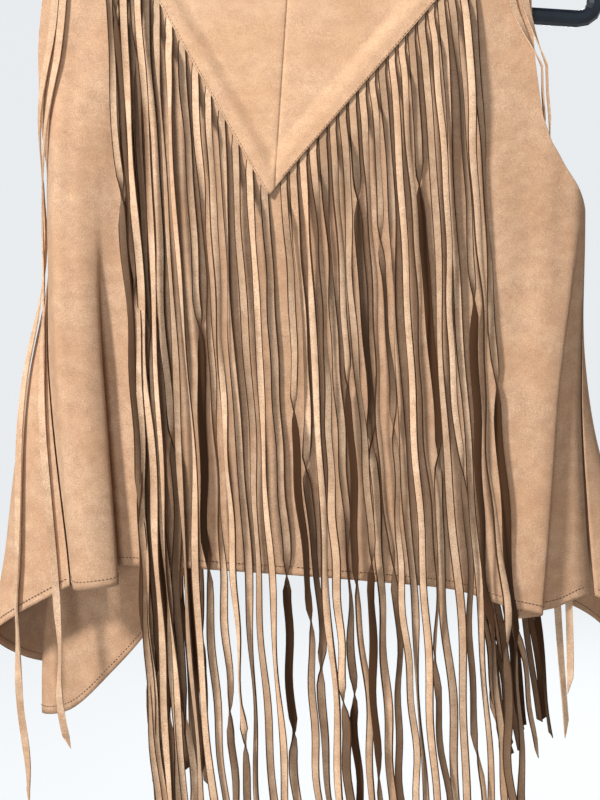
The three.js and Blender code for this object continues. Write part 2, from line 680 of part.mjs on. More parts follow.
/**
 * A strand that turns edge-on, slips over the armhole's edge and hangs plumb inside the vest.
 * Its path lists drop, cloth run, distance out of the cloth and turn in degrees.
 */
function inwardStrand(side, strand) {
  const sections = strand.path.map(([v, run, out, turn]) => {
    const p = rowOfRun(side, run);
    return { centre: skin(side, p, v, out), turn: THREE.MathUtils.degToRad(turn) };
  });
  const last = sections[sections.length - 1];
  for (const t of [0.15, 0.4, 0.7, 1]) {
    const centre = new THREE.Vector3(
      last.centre.x + SIDE_DRIFT * t,
      last.centre.y,
      lerp(last.centre.z, strand.end, t),
    );
    sections.push({ centre, turn: lerp(last.turn, 0.3, smooth(t, 0, 0.5)) });
  }
  return sectionsGeometry(sections.map(({ centre, turn }) => {
    const wide = new THREE.Vector3(Math.cos(turn), Math.sin(turn), 0);
    const thick = new THREE.Vector3(-wide.y, wide.x, 0).multiplyScalar(STRAND_THICK / 2);
    wide.multiplyScalar(SIDE_STRAND_WIDE / 2);
    return [[-1, -1], [1, -1], [1, 1], [-1, 1]].map(([a, b]) => centre.clone()
      .addScaledVector(wide, a).addScaledVector(thick, b));
  }), false);
}

/** Short strip by the shoulder's end with the loose strands that fall past the armhole. */
function sideFringe(side, strands) {
  const lines = SIDE_STRIP_RUNS.map((run) => rowOfRun(side, run));
  const parts = [stripGeometry(side, lines, () => SIDE_STRIP_DROP)];
  for (const strand of strands) {
    parts.push(strand.path ? inwardStrand(side, strand) : clingingStrand(side, strand));
  }
  return joined(parts);
}

// ---- hanger ----
/** Closed outline of the hanger: bar, round corners, sloping arms and the rounded top. */
function hangerOutline() {
  const points = [];
  const corner = (mirror) => {
    const arc = [];
    for (let i = 0; i <= 6; i += 1) {
      const angle = (Math.PI - ARM_RISE) * (i / 6);
      const u = BAR_HALF + CORNER_R * Math.sin(angle);
      const v = -CORNER_R + CORNER_R * Math.cos(angle);
      arc.push([mirror * u, v]);
    }
    return arc;
  };
  const arm = (mirror) => [0.75, 0.5, 0.25].map((t) => {
    const u = lerp(NECK_ROUND, BAR_HALF, t);
    return [mirror * u, armDrop(u)];
  });
  const topDrop = armDrop(NECK_ROUND);
  const crest = topDrop - (NECK_ROUND * Math.tan(ARM_RISE)) / 2;
  points.push([-70, 0], [70, 0], ...corner(1), ...arm(1));
  points.push([NECK_ROUND, topDrop], [0, crest], [-NECK_ROUND, topDrop]);
  points.push(...arm(-1).reverse(), ...corner(-1).reverse());
  return points;
}

/** Round section about a path that lies in the hanger's plane. */
function roundSections(path, radius, sides, closed) {
  const count = path.length;
  return path.map(([u, v], i) => {
    const before = path[closed ? (i + count - 1) % count : Math.max(i - 1, 0)];
    const after = path[closed ? (i + 1) % count : Math.min(i + 1, count - 1)];
    const length = Math.hypot(after[0] - before[0], after[1] - before[1]);
    const out = [(after[1] - before[1]) / length, -(after[0] - before[0]) / length];
    return Array.from({ length: sides }, (_, k) => {
      const angle = (Math.PI * 2 * k) / sides;
      const r = radius * Math.cos(angle);
      const flat = place(u + out[0] * r, Math.min(v + out[1] * r, LEAN_FULL), 0);
      return flat.add(new THREE.Vector3(0, radius * Math.sin(angle), 0));
    });
  });
}

function hookPath() {
  const centre = -HOOK_DROP + HOOK_R - HOOK_WIRE_R;
  const path = [[0, armDrop(NECK_ROUND) - 2], [0, centre + 40], [5, centre + 30], [15, centre + 17]];
  for (let i = 0; i <= 12; i += 1) {
    const angle = -0.25 + ((Math.PI + 0.6) * i) / 12;
    path.push([HOOK_R * Math.cos(angle), centre - HOOK_R * Math.sin(angle)]);
  }
  return path;
}

function hanger() {
  const loop = sectionsGeometry(roundSections(hangerOutline(), TUBE_R, 10, true), true);
  const hook = sectionsGeometry(roundSections(hookPath(), HOOK_WIRE_R, 10, false), false);
  return joined([loop, hook]);
}

// ---- the part ----
addNode('hanger', hanger(), BLACK_PLASTIC);
addNode('back_panel', backPanel(), SUEDE);
for (const side of ['left', 'right']) {
  addNode(`back_yoke_${side}`, backYoke(side), SUEDE);
  addNode(`front_${side}`, frontPanel(side), SUEDE_SHADE);
  addNode(`front_yoke_${side}`, frontYoke(side), SUEDE);
  addNode(
    `fringe_back_${side}`,
    fringe(side, linesBetween(0.04, yokeEnds[side] - 0.16, 12), backYokeEdge, -1, {
      count: BACK_STRANDS,
      layerStep: side === 'left' ? 2 : 1,
      firstLayer: side === 'left' ? 0 : 2,
      end: FRINGE_END,
      sway: side === 'left' ? 1.6 : 1.2,
      salt: side === 'left' ? 11 : 31,
      drift: 0,
      lift: 0,
    }),
    SUEDE,
  );
  addNode(
    `fringe_front_${side}`,
    fringe(side, frontFringeLines(side), frontYokeEdge, 1, {
      count: FRONT_STRANDS,
      layerStep: 2,
      firstLayer: 0,
      end: FRINGE_END + 30,
      sway: 1.3,
      salt: side === 'left' ? 51 : 71,
      drift: side === 'left' ? -9 : 44,
      lift: FRONT_LIFT,
    }),
    SUEDE_SHADE,
  );
}

addNode('fringe_side_left', sideFringe('left', [
  { from: 5.95, to: 7.35, parts: 20, meets: 330, leaves: 440, out: 4, end: -705 },
  { from: 6.12, to: 8.1, parts: 20, meets: 330, leaves: 450, out: 4, end: -745 },
]), SUEDE);
addNode('fringe_side_right', sideFringe('right', [
  {
    path: [[-31, 153, 2.35, 0], [-22, 154, 2.6, 0], [0, 160, 3.4, 10], [20, 170, 5, 50],
      [38, 182, 2.2, 85], [56, 184.8, -3, 90], [74, 188.8, -9, 90], [92, 191, -18.5, 60]],
    end: -722,
  },
  {
    path: [[-31, 163, 2.35, 0], [-22, 164, 3.2, 0], [0, 168.5, 4.6, 20], [20, 175.6, 6.6, 60],
      [38, 184.8, 4.4, 88], [56, 187.6, -0.5, 90], [74, 191.8, -5.5, 90], [92, 194.6, -13, 60]],
    end: -690,
  },
]), SUEDE);

export default group;
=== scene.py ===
"""Looks of a fringed suede vest on a tubular hanger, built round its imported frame.

Lengths are in metres unless a name says mm. The cloth is worked out in the hanger's own
coordinates: u across from its middle, v the drop below its bottom bar, y the depth.
"""

from __future__ import annotations

import logging
import math
from collections.abc import Callable
from dataclasses import dataclass, field
from enum import Enum

import bmesh
import bpy
import numpy as np
from mathutils import Matrix, Vector

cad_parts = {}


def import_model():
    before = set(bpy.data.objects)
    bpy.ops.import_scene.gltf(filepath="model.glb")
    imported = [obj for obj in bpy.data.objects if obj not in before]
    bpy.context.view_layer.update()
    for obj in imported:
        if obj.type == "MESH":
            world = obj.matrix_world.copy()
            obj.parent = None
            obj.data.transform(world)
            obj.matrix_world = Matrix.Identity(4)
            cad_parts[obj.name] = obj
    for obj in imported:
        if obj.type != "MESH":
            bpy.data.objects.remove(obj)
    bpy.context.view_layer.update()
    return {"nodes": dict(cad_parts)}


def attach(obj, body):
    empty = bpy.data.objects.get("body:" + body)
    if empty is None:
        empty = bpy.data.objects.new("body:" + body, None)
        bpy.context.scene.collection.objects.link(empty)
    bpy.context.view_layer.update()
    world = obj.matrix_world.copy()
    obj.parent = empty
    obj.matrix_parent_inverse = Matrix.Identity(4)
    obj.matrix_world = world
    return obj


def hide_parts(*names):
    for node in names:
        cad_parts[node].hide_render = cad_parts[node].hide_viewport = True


LOG = logging.getLogger("vest")
MM = 0.001
Array = np.ndarray


class Side(Enum):
    """Left or right of the vest as its back is looked at, with the sign of x."""

    LEFT = -1
    RIGHT = 1

    @property
    def word(self) -> str:
        """The side's name in node names."""
        return self.name.lower()


class Face(Enum):
    """Back or front of the vest, with the sign of y of its outer face."""

    BACK = -1
    FRONT = 1


# ---------------------------------------------------------------- sizes of the cloth, in mm
@dataclass(frozen=True)
class FoldLine:
    """One line down the cloth: u and y at the chest, waist and hem, and the cut edge's drop.

    The lines run from the centre back round the side seam to the front opening.
    """

    name: str
    chest: tuple[float, float]
    waist: tuple[float, float]
    hem: tuple[float, float]
    drop: float


LEFT_FOLDS = tuple(FoldLine(*row) for row in (
    ("centre_back", (0, -14), (0, -14), (0, -14), 411),
    ("mid_back", (55, -13), (52, -13), (50, -13), 411),
    ("valley", (104, -11), (99, -9), (96, -8), 412),
    ("under_pleat", (122, -11), (133, -5), (144, -2), 416),
    ("pleat_edge", (129, -14), (127, -15), (124, -19), 424),
    ("pleat_face", (142, -17), (141, -23), (140, -26), 428),
    ("ridge", (156, -12), (156, -20), (154, -22), 430),
    ("side_seam", (170, 40), (168, 0), (159, -9), 429),
    ("front_side", (164, 57), (184, 8), (196, 2), 452),
    ("turn", (150, 64), (189, 28), (217, 18), 473),
    ("far_side", (138, 65), (178, 52), (208, 62), 500),
    ("far_tuck", (128, 64), (154, 62), (180, 82), 513),
    ("behind_flap", (120, 62), (141, 57), (168, 66), 524),
    ("flap_fold", (112, 60), (144, 44), (184, 42), 536),
    ("flap_low", (104, 57), (132, 40), (162, 31), 528),
    ("flap_mid", (96, 54), (116, 38), (135, 28), 498),
    ("flap_end", (88, 51), (98, 38), (108, 28), 463),
    ("opening", (79, 48), (80, 39), (79, 31), 415),
))
RIGHT_FOLDS = tuple(FoldLine(*row) for row in (
    ("centre_back", (0, -14), (0, -14), (0, -14), 411),
    ("mid_back", (60, -14), (58, -13), (57, -13), 412),
    ("fringe_side", (120, -13), (115, -13), (112, -14), 414),
    ("near_side", (176, -12), (158, -16), (146, -22), 422),
    ("fold_edge", (212, -7), (191, -15), (171, -20), 427),
    ("fold_inner", (217, -3), (180, -6), (148, -9), 433),
    ("third_layer", (220, 1), (198, -2), (184, -3), 424),
    ("side_seam", (222, 6), (212, 4), (213, 1), 414),
    ("front_side", (220, 14), (223, 14), (244, 3), 432),
    ("turn", (213, 21), (225, 30), (268, 18), 452),
    ("far_side", (203, 25), (217, 44), (281, 50), 474),
    ("far_tuck", (193, 27), (206, 53), (264, 70), 495),
    ("behind_flap", (184, 28), (197, 60), (276, 90), 520),
    ("flap_fold", (175, 29), (188, 64), (262, 105), 505),
    ("flap_low", (165, 29), (178, 62), (236, 100), 452),
    ("flap_mid", (153, 28), (165, 57), (200, 88), 430),
    ("flap_end", (140, 27), (152, 52), (168, 76), 414),
    ("opening", (126, 26), (138, 48), (140, 68), 396),
))
SEAM_ROW = [row.name for row in LEFT_FOLDS].index("side_seam")
LAST_ROW = len(LEFT_FOLDS) - 1
# the armhole: its drop at shares of the way in from the shoulder to the side seam
ARM_SHARES = (0, 0.01, 0.02, 0.03, 0.07, 0.14, 0.27, 0.4, 0.58, 0.8, 1)
ARM_DROPS = (-50, -46.3, -42.7, -38.6, -6, 29, 71, 91, 107, 124, 138)
RUN_STEPS = 8
LINE_STEP = 0.02
DROP_STEP = 0.5
SPAN_LEAST = 1e-4
NORMAL_LEAST = 1e-12
RIPPLE_SEED = 7
HASH = (12.9898, 78.233, 43758.5453)


@dataclass(frozen=True)
class Crease:
    """A soft trough or ridge laid on the cloth.

    It starts on line p at drop top and leans by so many lines to drop bottom. Its depth is
    outward, and its width is that of its bell, both in mm.
    """

    p: float
    lean: float
    top: float
    bottom: float
    depth: float
    width: float


CREASES = {
    Side.LEFT: tuple(Crease(*row) for row in (
        (2.25, 0.15, 20, 330, -1.6, 9),
        (3.1, -0.25, -20, 240, 1.8, 8),
        (5.2, 0.2, 10, 380, -1.3, 7),
        (5.9, 0.1, 60, 300, 1.4, 8),
        (8.4, 0.3, 190, 470, -2.0, 10),
        (9.6, -0.2, 160, 430, 1.5, 12),
        (14.6, 0.4, 300, 520, -1.6, 9),
        (15.6, 0.3, 250, 500, 1.4, 10),
    )),
    Side.RIGHT: tuple(Crease(*row) for row in (
        (2.95, 0.12, 40, 300, -1.4, 12),
        (3.4, 0.3, 150, 420, 1.8, 10),
        (3.75, -0.2, 60, 260, -1.2, 8),
        (6.4, 0.2, 200, 400, 1.3, 9),
        (8.6, 0.2, 180, 430, -1.8, 12),
        (10.5, 0.2, 200, 470, 1.6, 10),
        (13.8, -0.3, 200, 440, -1.7, 10),
        (15.7, 0.3, 180, 400, 1.5, 11),
    )),
}


def smooth(x: Array, low: float, high: float) -> Array:
    """Smooth step from 0 at low to 1 at high: 3t squared less 2t cubed."""
    t = np.clip((np.asarray(x, float) - low) / (high - low), 0.0, 1.0)
    return t * t * (3 - 2 * t)


def mix(a: Array, b: Array, t: Array) -> Array:
    """Straight mix from a to b."""
    return a + (b - a) * t


def bell(x: Array, middle: float, width: float) -> Array:
    """Bell of height 1 round a middle: e to the minus square of the distance in widths."""
    return np.exp(-((x - middle) / width) ** 2)


def hermite(a: Array, b: Array, leave: Array, arrive: Array, t: Array) -> Array:
    """Cubic from a at t 0 to b at t 1 with these slopes at its two ends."""
    return (a + leave * t + (3 * (b - a) - 2 * leave - arrive) * t ** 2
            + (2 * (a - b) + leave + arrive) * t ** 3)


def uneven(index: int, salt: int) -> float:
    """Share between -1 and 1 that is always the same for an index and a salt."""
    wave = math.sin(index * HASH[0] + salt * HASH[1]) * HASH[2]
    return 2 * (wave - math.floor(wave)) - 1


def ripple(x: Array, y: Array, seed: int, waves: int = 5) -> Array:
    """Soft uneven relief: a sum of a few sine waves that run different ways.

    Args:
        x: places across, in the relief's own lengths.
        y: places down, in the same way.
        seed: which relief it is.
        waves: how many sines are summed.

    Returns:
        Heights near -1 to 1.
    """
    rng = np.random.default_rng(seed)
    total = np.zeros_like(np.asarray(x, float))
    for _ in range(waves):
        kx, ky, phase = rng.normal(0, 1), rng.normal(0, 0.45), rng.uniform(0, 2 * math.pi)
        total += np.sin(kx * x + ky * y + phase)
    return total / math.sqrt(waves)


@dataclass(frozen=True)
class Hanger:
    """Sizes of the hanger that the cloth hangs by, in mm and radians."""

    tilt: float = math.radians(7)
    hook_drop: float = 190
    corner_r: float = 12
    bar_half: float = 207
    rise: float = math.radians(20)
    lean_to: float = 120
    lean_fade: float = 30

    def place(self, u: Array, v: Array, y: Array) -> Array:
        """Puts cloth points in the frame: turned by the tilt, whose lean fades below the yoke.

        Args:
            u: distances across from the middle, in mm.
            v: drops below the hanger's bar, in mm.
            y: depths, in mm.

        Returns:
            The points in metres.
        """
        past = np.maximum(v - self.lean_to, 0)
        faded = self.lean_to + self.lean_fade * (1 - np.exp(-past / self.lean_fade))
        lean = np.where(v <= self.lean_to, v, faded)
        x = math.cos(self.tilt) * u - math.sin(self.tilt) * (self.hook_drop + lean)
        z = -math.sin(self.tilt) * u - math.cos(self.tilt) * (self.hook_drop + v)
        return np.stack(np.broadcast_arrays(x, y, z), axis=-1) * MM

    def arm_drop(self, u: Array) -> Array:
        """Drop of the sloping arm's centre line at distance u from the middle."""
        corner_u = self.bar_half + self.corner_r * math.sin(self.rise)
        corner_v = -self.corner_r * (1 + math.cos(self.rise))
        return corner_v - (corner_u - np.abs(u)) * math.tan(self.rise)


@dataclass
class Cloth:
    """The vest's surface on one side, as a function of fold line p and drop v."""

    side: Side
    hanger: Hanger = field(default_factory=Hanger)
    cloth_r: float = 7.4
    neck_half: float = 70
    neck_dip: float = 26
    shoulder: float = 168
    front_arm: float = 46
    blend_from: float = 9
    chest: float = 138
    waist: float = 280
    hem: float = 430
    hem_fade: float = 60
    seam: float = 0.3
    lap: float = 10
    point_drop: float = 143.8
    point_left: float = 4.4
    yoke_slopes: tuple[float, float] = (1.545, 1.345)
    front_yoke_drop: float = -36
    front_yoke_in: float = 16
    front_yoke_slope: float = 1.35
    front_arm_lean: float = 0.6
    ripple_high: float = 0.5
    ripple_wide: float = 26
    ripple_long: float = 60
    crease_ends: tuple[float, float] = (60, 70)

    def __post_init__(self) -> None:
        """Measures the cloth's run at the chest from the centre back to each line."""
        self.rows = LEFT_FOLDS if self.side is Side.LEFT else RIGHT_FOLDS
        self.run_p = np.arange(LAST_ROW * RUN_STEPS + 1) / RUN_STEPS
        u, y = self.plan(self.run_p, np.full(self.run_p.shape, self.chest))
        steps = np.hypot(np.diff(u), np.diff(y))
        self.run_far = np.concatenate([[0.0], np.cumsum(steps)])
        self.seam_run = float(self.run(SEAM_ROW))
        self.whole_run = float(self.run(LAST_ROW))

    def run(self, p: Array) -> Array:
        """Cloth distance at the chest from the centre back to line p."""
        return np.interp(p, self.run_p, self.run_far)

    def line(self, run: Array) -> Array:
        """Line p at a cloth distance from the centre back."""
        return np.interp(run, self.run_far, self.run_p)

    def row_values(self, axis: int, v: Array) -> Array:
        """Every line's u or y: cubics through its chest, waist and hem values.

        It stands still above the chest, and its slope fades out below the hem.

        Args:
            axis: 0 for u or 1 for y.
            v: drops.

        Returns:
            A row of values for each drop, one for each line.
        """
        chest, waist, hem = (
            np.array([getattr(row, level)[axis] for row in self.rows])[None, :]
            for level in ("chest", "waist", "hem")
        )
        v = np.maximum(v, self.chest)[:, None]
        waist_slope = (hem - chest) / (self.hem - self.chest)
        hem_slope = (hem - waist) / (self.hem - self.waist)
        past = np.maximum(v - self.hem, 0)
        below = hem + hem_slope * self.hem_fade * (1 - np.exp(-past / self.hem_fade))
        upper = v < self.waist
        low = np.where(upper, self.chest, self.waist)
        span = np.where(upper, self.waist - self.chest, self.hem - self.waist)
        t = np.clip((v - low) / span, 0, 1)
        a, b = np.where(upper, chest, waist), np.where(upper, waist, hem)
        leave = np.where(upper, 0.0, waist_slope)
        arrive = np.where(upper, waist_slope, hem_slope)
        return np.where(v >= self.hem, below, hermite(a, b, span * leave, span * arrive, t))

    def plan(self, p: Array, v: Array) -> tuple[Array, Array]:
        """Plan of the cloth at the chest or lower: a centripetal spline across the fold lines.

        Args:
            p: fold line numbers, whole or between two lines.
            v: drops, one for each p.

        Returns:
            The u and y of each point, in mm.
        """
        p, v = np.asarray(p, float).ravel(), np.asarray(v, float).ravel()
        points = np.stack([self.row_values(0, v), self.row_values(1, v)], axis=-1)
        first = 2 * points[:, :1] - points[:, 1:2]
        last = 2 * points[:, -1:] - points[:, -2:-1]
        padded = np.concatenate([first, points, last], axis=1)
        at = np.clip(np.floor(p).astype(int), 0, LAST_ROW - 1)
        t = (np.clip(p, 0, LAST_ROW) - at)[:, None]
        index = np.arange(len(p))
        a, b, c, d = (padded[index, at + k] for k in range(4))
        spans = [np.maximum(np.linalg.norm(q - r, axis=1, keepdims=True), SPAN_LEAST) ** 0.5
                 for q, r in ((b, a), (c, b), (d, c))]
        out = ((b - a) / spans[0] - (c - a) / (spans[0] + spans[1]) + (c - b) / spans[1]) * spans[1]
        into = ((c - b) / spans[1] - (d - b) / (spans[1] + spans[2]) + (d - c) / spans[2]) * spans[1]
        point = hermite(b, c, out, into, t)
        return point[:, 0], point[:, 1]

    def across(self, p: Array) -> Array:
        """Distance out along the hanger's arm where line p crosses the shoulder."""
        run = self.run(p)
        past = run - self.seam_run - self.front_arm
        on_arm = past / (self.whole_run - self.seam_run - self.front_arm)
        sloped = self.shoulder - past * self.front_arm_lean
        front = np.where(past < 0, sloped, mix(self.shoulder, self.neck_half, on_arm))
        return np.where(np.asarray(p) <= SEAM_ROW, run, front)

    def middle(self, p: Array, v: Array) -> Array:
        """Middle of the cloth: its plan, then straight to the arm, then a quarter circle over it.

        Args:
            p: fold line numbers.
            v: drops; above the arm they are measured round the tube.

        Returns:
            The points in metres.
        """
        shape = np.broadcast(p, v).shape
        p, v = (np.broadcast_to(np.asarray(x, float), shape).ravel() for x in (p, v))
        across = self.across(p)
        arm = self.hanger.arm_drop(across)
        face = np.where(p <= SEAM_ROW, -1.0, 1.0)
        u, y = self.plan(p, np.maximum(v, self.chest))
        t = smooth(v, self.blend_from, self.chest)
        u, y = mix(across, u, t), mix(face * self.cloth_r, y, t)
        angle = np.clip((arm - v) / self.cloth_r, 0, math.pi / 2)
        rise = self.cloth_r / math.cos(self.hanger.rise) * np.sin(angle)
        wrapped = v < arm
        u = np.where(wrapped, across, u)
        y = np.where(wrapped, face * self.cloth_r * np.cos(angle), y)
        drop = np.where(wrapped, arm - rise, v)
        return self.hanger.place(self.side.value * u, drop, y).reshape(*shape, 3)

    def skin(self, p: Array, v: Array, out: Array = 0.0) -> Array:
        """Points moved out of the cloth's middle along its normal, from differences each way.

        Args:
            p: fold line numbers.
            v: drops.
            out: distances outwards, in mm.

        Returns:
            The points in metres.
        """
        shape = np.broadcast(p, v, out).shape
        p, v, out = (np.broadcast_to(np.asarray(x, float), shape) for x in (p, v, out))
        after, before = np.minimum(p + LINE_STEP, LAST_ROW), np.maximum(p - LINE_STEP, 0)
        over = self.middle(after, v) - self.middle(before, v)
        down = self.middle(p, v + DROP_STEP) - self.middle(p, v - DROP_STEP)
        normal = np.cross(over, down) * -self.side.value
        normal /= np.maximum(np.linalg.norm(normal, axis=-1, keepdims=True), NORMAL_LEAST)
        return self.middle(p, v) + normal * out[..., None] * MM

    def hem_drop(self, p: Array) -> Array:
        """Drop of the cut edge on line p, smoothed between the fold lines."""
        drops = np.array([row.drop for row in self.rows], float)
        slope = np.gradient(drops)
        at = np.clip(np.floor(p).astype(int), 0, LAST_ROW - 1)
        return hermite(drops[at], drops[at + 1], slope[at], slope[at + 1], np.asarray(p, float) - at)

    def arm_top(self, across: Array) -> Array:
        """Drop, unrolled over the tube, of the top of the arm at a distance out along it."""
        return self.hanger.arm_drop(across) - self.cloth_r * math.pi / 2 + self.seam

    def shoulder_top(self, p: Array) -> Array:
        """Drop, unrolled over the tube, of the shoulder seam on top of the arm."""
        return self.arm_top(self.across(p))

    def back_yoke_edge(self, p: Array) -> Array:
        """Drop of the back yoke's slanting edge, from its point to the shoulder."""
        left, right = self.yoke_slopes
        out = self.across(p) + self.side.value * self.point_left
        slope = np.where(out < 0, -right, left if self.side is Side.LEFT else right)
        return self.point_drop - slope * out

    def front_yoke_edge(self, p: Array) -> Array:
        """Drop of the front yoke's slanting edge, from the armhole to the opening."""
        inward = self.shoulder - self.front_yoke_in - self.across(p)
        return self.front_yoke_drop + self.front_yoke_slope * inward

    def neck_edge(self, p: Array) -> Array:
        """Drop of the neck edge: on top of the arm at its side, with a shallow dip between."""
        dip = 1 - np.minimum(self.across(p) / self.neck_half, 1) ** 6
        return self.arm_top(np.array(self.neck_half)) + self.neck_dip * dip

    def yoke_top(self, p: Array) -> Array:
        """Top of the back yoke: the neck edge, then the shoulder seam."""
        return np.maximum(self.neck_edge(p), self.shoulder_top(p))

    def armhole(self, p: Array) -> Array:
        """Drop of the armhole's edge at line p, back or front."""
        back = (self.run(p) - self.shoulder) / (self.seam_run - self.shoulder)
        front = (self.seam_run + self.front_arm - self.run(p)) / self.front_arm
        return np.interp(np.where(np.asarray(p) <= SEAM_ROW, back, front), ARM_SHARES, ARM_DROPS)

    def back_top(self, p: Array) -> Array:
        """Top of the back panel: under the yoke, over the shoulder, then down the armhole."""
        lap = np.maximum(self.back_yoke_edge(p) - self.lap, self.shoulder_top(p))
        return np.where(self.run(p) > self.shoulder, self.armhole(p), lap)

    def front_top(self, p: Array) -> Array:
        """Top of the front panel: up the armhole, over the shoulder, then under the yoke."""
        lap = np.maximum(self.front_yoke_edge(p) - self.lap, self.shoulder_top(p))
        return np.where(self.run(p) < self.seam_run + self.front_arm, self.armhole(p), lap)

    def creases(self, p: Array, v: Array) -> Array:
        """Relief of the creases: a faint ripple, and bells across that fade at both ends.

        Args:
            p: fold line numbers.
            v: drops.

        Returns:
            Distances outwards, in mm.
        """
        run = self.run(p)
        total = self.ripple_high * ripple(run / self.ripple_wide, v / self.ripple_long,
                                          RIPPLE_SEED + self.side.value)
        fade_in, fade_out = self.crease_ends
        for crease in CREASES[self.side]:
            along = (v - crease.top) / (crease.bottom - crease.top)
            middle = self.run(crease.p + crease.lean * along)
            ends = smooth(v, crease.top, crease.top + fade_in)
            ends = ends * (1 - smooth(v, crease.bottom - fade_out, crease.bottom))
            total = total + crease.depth * bell(run, middle, crease.width) * ends
        return total


# ---------------------------------------------------------------- meshes
def grid_mesh(name: str, points: Array, uv: Array) -> bpy.types.Object:
    """Makes an object from a grid of points, with a UV map in metres of cloth.

    Args:
        name: the piece's name.
        points: rows x columns x 3, in metres.
        uv: rows x columns x 2.

    Returns:
        The new object, at the origin.
    """
    rows, columns = points.shape[:2]
    index = np.arange(rows * columns).reshape(rows, columns)
    quads = np.stack([index[:-1, :-1], index[1:, :-1], index[1:, 1:], index[:-1, 1:]], axis=-1)
    return mesh_object(name, points.reshape(-1, 3), quads.reshape(-1, 4).tolist(), uv.reshape(-1, 2))


def mesh_object(name: str, points: Array, faces: list[list[int]], uv: Array | None = None,
                rounded: bool = True) -> bpy.types.Object:
    """Makes an object from points and faces.

    Args:
        name: the piece's name.
        points: points x 3, in metres.
        faces: each face's point numbers.
        uv: a UV for each point, where the piece has a map.
        rounded: whether its faces are shaded smooth.

    Returns:
        The new object, at the origin.
    """
    mesh = bpy.data.meshes.new(name)
    mesh.from_pydata(points.tolist(), [], faces)
    if uv is not None:
        layer = mesh.uv_layers.new(name="cloth")
        loops = np.empty(len(mesh.loops), dtype=np.int32)
        mesh.loops.foreach_get("vertex_index", loops)
        layer.data.foreach_set("uv", uv[loops].ravel())
    if rounded:
        mesh.shade_smooth()
    else:
        mesh.shade_flat()
    obj = bpy.data.objects.new(name, mesh)
    bpy.context.collection.objects.link(obj)
    return obj


def thicken(obj: bpy.types.Object, thickness: float) -> None:
    """Gives a sheet its wall, half to each side, with closed rims."""
    solid = obj.modifiers.new("wall", "SOLIDIFY")
    solid.thickness = thickness * MM
    solid.offset = 0.0
    solid.use_rim = True
    solid.use_quality_normals = True
    solid.material_offset_rim = 1


def attribute(obj: bpy.types.Object, name: str, values: Array) -> None:
    """Stores a number for each point under a name that materials read."""
    layer = obj.data.attributes.new(name, "FLOAT", "POINT")
    layer.data.foreach_set("value", values.astype(np.float32).ravel())


def fix_normals(obj: bpy.types.Object) -> None:
    """Turns every closed shell's faces out."""
    mesh = bmesh.new()
    mesh.from_mesh(obj.data)
    bmesh.ops.recalc_face_normals(mesh, faces=mesh.faces)
    mesh.to_mesh(obj.data)
    mesh.free()


class Tubes:
    """Closed tubes gathered into one piece, with a darkness for each point: cut edges, and painted shade
    on the strands.
    """

    def __init__(self) -> None:
        """Starts with no tube."""
        self.points: list[Array] = []
        self.edges: list[Array] = []
        self.faces: list[list[int]] = []
        self.count = 0

    def add(self, rings: Array, edge: Array) -> None:
        """Adds a tube: four-sided faces from ring to ring, and a cap at each end.

        Args:
            rings: rings x points round each x 3, in metres.
            edge: darkness of each point, or one number for all.
        """
        index = self.count + np.arange(rings.shape[0] * rings.shape[1]).reshape(rings.shape[:2])
        turned = np.roll(index, -1, axis=1)
        quads = np.stack([index[:-1], turned[:-1], turned[1:], index[1:]], axis=-1).reshape(-1, 4)
        self.faces += quads.tolist() + [index[0][::-1].tolist(), index[-1].tolist()]
        self.points.append(rings.reshape(-1, 3))
        self.edges.append(np.broadcast_to(edge, index.shape).ravel())
        self.count += index.size

    def build(self, name: str, rounded: bool = True) -> bpy.types.Object:
        """Makes the piece, with its faces turned out."""
        obj = mesh_object(name, np.concatenate(self.points), self.faces, rounded=rounded)
        attribute(obj, "edge", np.concatenate(self.edges))
        fix_normals(obj)
        return obj


# ---------------------------------------------------------------- finishes
Colour = tuple[float, float, float]


class Shader:
    """Short way to place nodes in a material or a node group."""

    def __init__(self, tree: bpy.types.NodeTree) -> None:
        """Keeps the tree that nodes go into."""
        self.tree = tree

    def node(self, kind: str, inputs: dict | None = None, **settings: object) -> bpy.types.Node:
        """Adds a node, sets its properties, and links or sets its inputs.

        Args:
            kind: the node's type.
            inputs: for each socket's name or number, a value or another node's output.
            settings: properties of the node.

        Returns:
            The new node.
        """
        made = self.tree.nodes.new(kind)
        for key, value in settings.items():
            setattr(made, key, value)
        for key, value in (inputs or {}).items():
            if isinstance(value, bpy.types.NodeSocket):
                self.tree.links.new(value, made.inputs[key])
            else:
                made.inputs[key].default_value = value
        return made

    def noise(self, scale: float, detail: float, rough: float = 0.5) -> bpy.types.NodeSocket:
        """Noise factor over the object's own place, at a scale in waves per metre."""
        where = self.node("ShaderNodeTexCoord").outputs["Object"]
        inputs = {"Vector": where, "Scale": scale, "Detail": detail, "Roughness": rough}
        return self.node("ShaderNodeTexNoise", inputs).outputs["Fac"]

    def ramp(self, factor: bpy.types.NodeSocket, low: tuple[float, Colour],
             high: tuple[float, Colour]) -> bpy.types.NodeSocket:
        """Colour ramp over a factor.

        Args:
            factor: what it follows.
            low: place and colour of its first stop.
            high: place and colour of its last stop.

        Returns:
            The colour.
        """
        made = self.node("ShaderNodeValToRGB", {"Fac": factor})
        for element, (position, colour) in zip(made.color_ramp.elements, (low, high)):
            element.position, element.color = position, (*colour, 1)
        return made.outputs["Color"]

    def blend(self, factor: bpy.types.NodeSocket, a: bpy.types.NodeSocket,
              b: bpy.types.NodeSocket | tuple) -> bpy.types.NodeSocket:
        """Colour mix from a to b."""
        return self.node("ShaderNodeMix", {0: factor, 6: a, 7: b}, data_type="RGBA").outputs[2]

    def surface(self, inputs: dict) -> None:
        """Principled surface with these inputs, as the material's output."""
        base = self.node("ShaderNodeBsdfPrincipled", inputs)
        self.node("ShaderNodeOutputMaterial", {"Surface": base.outputs[0]})


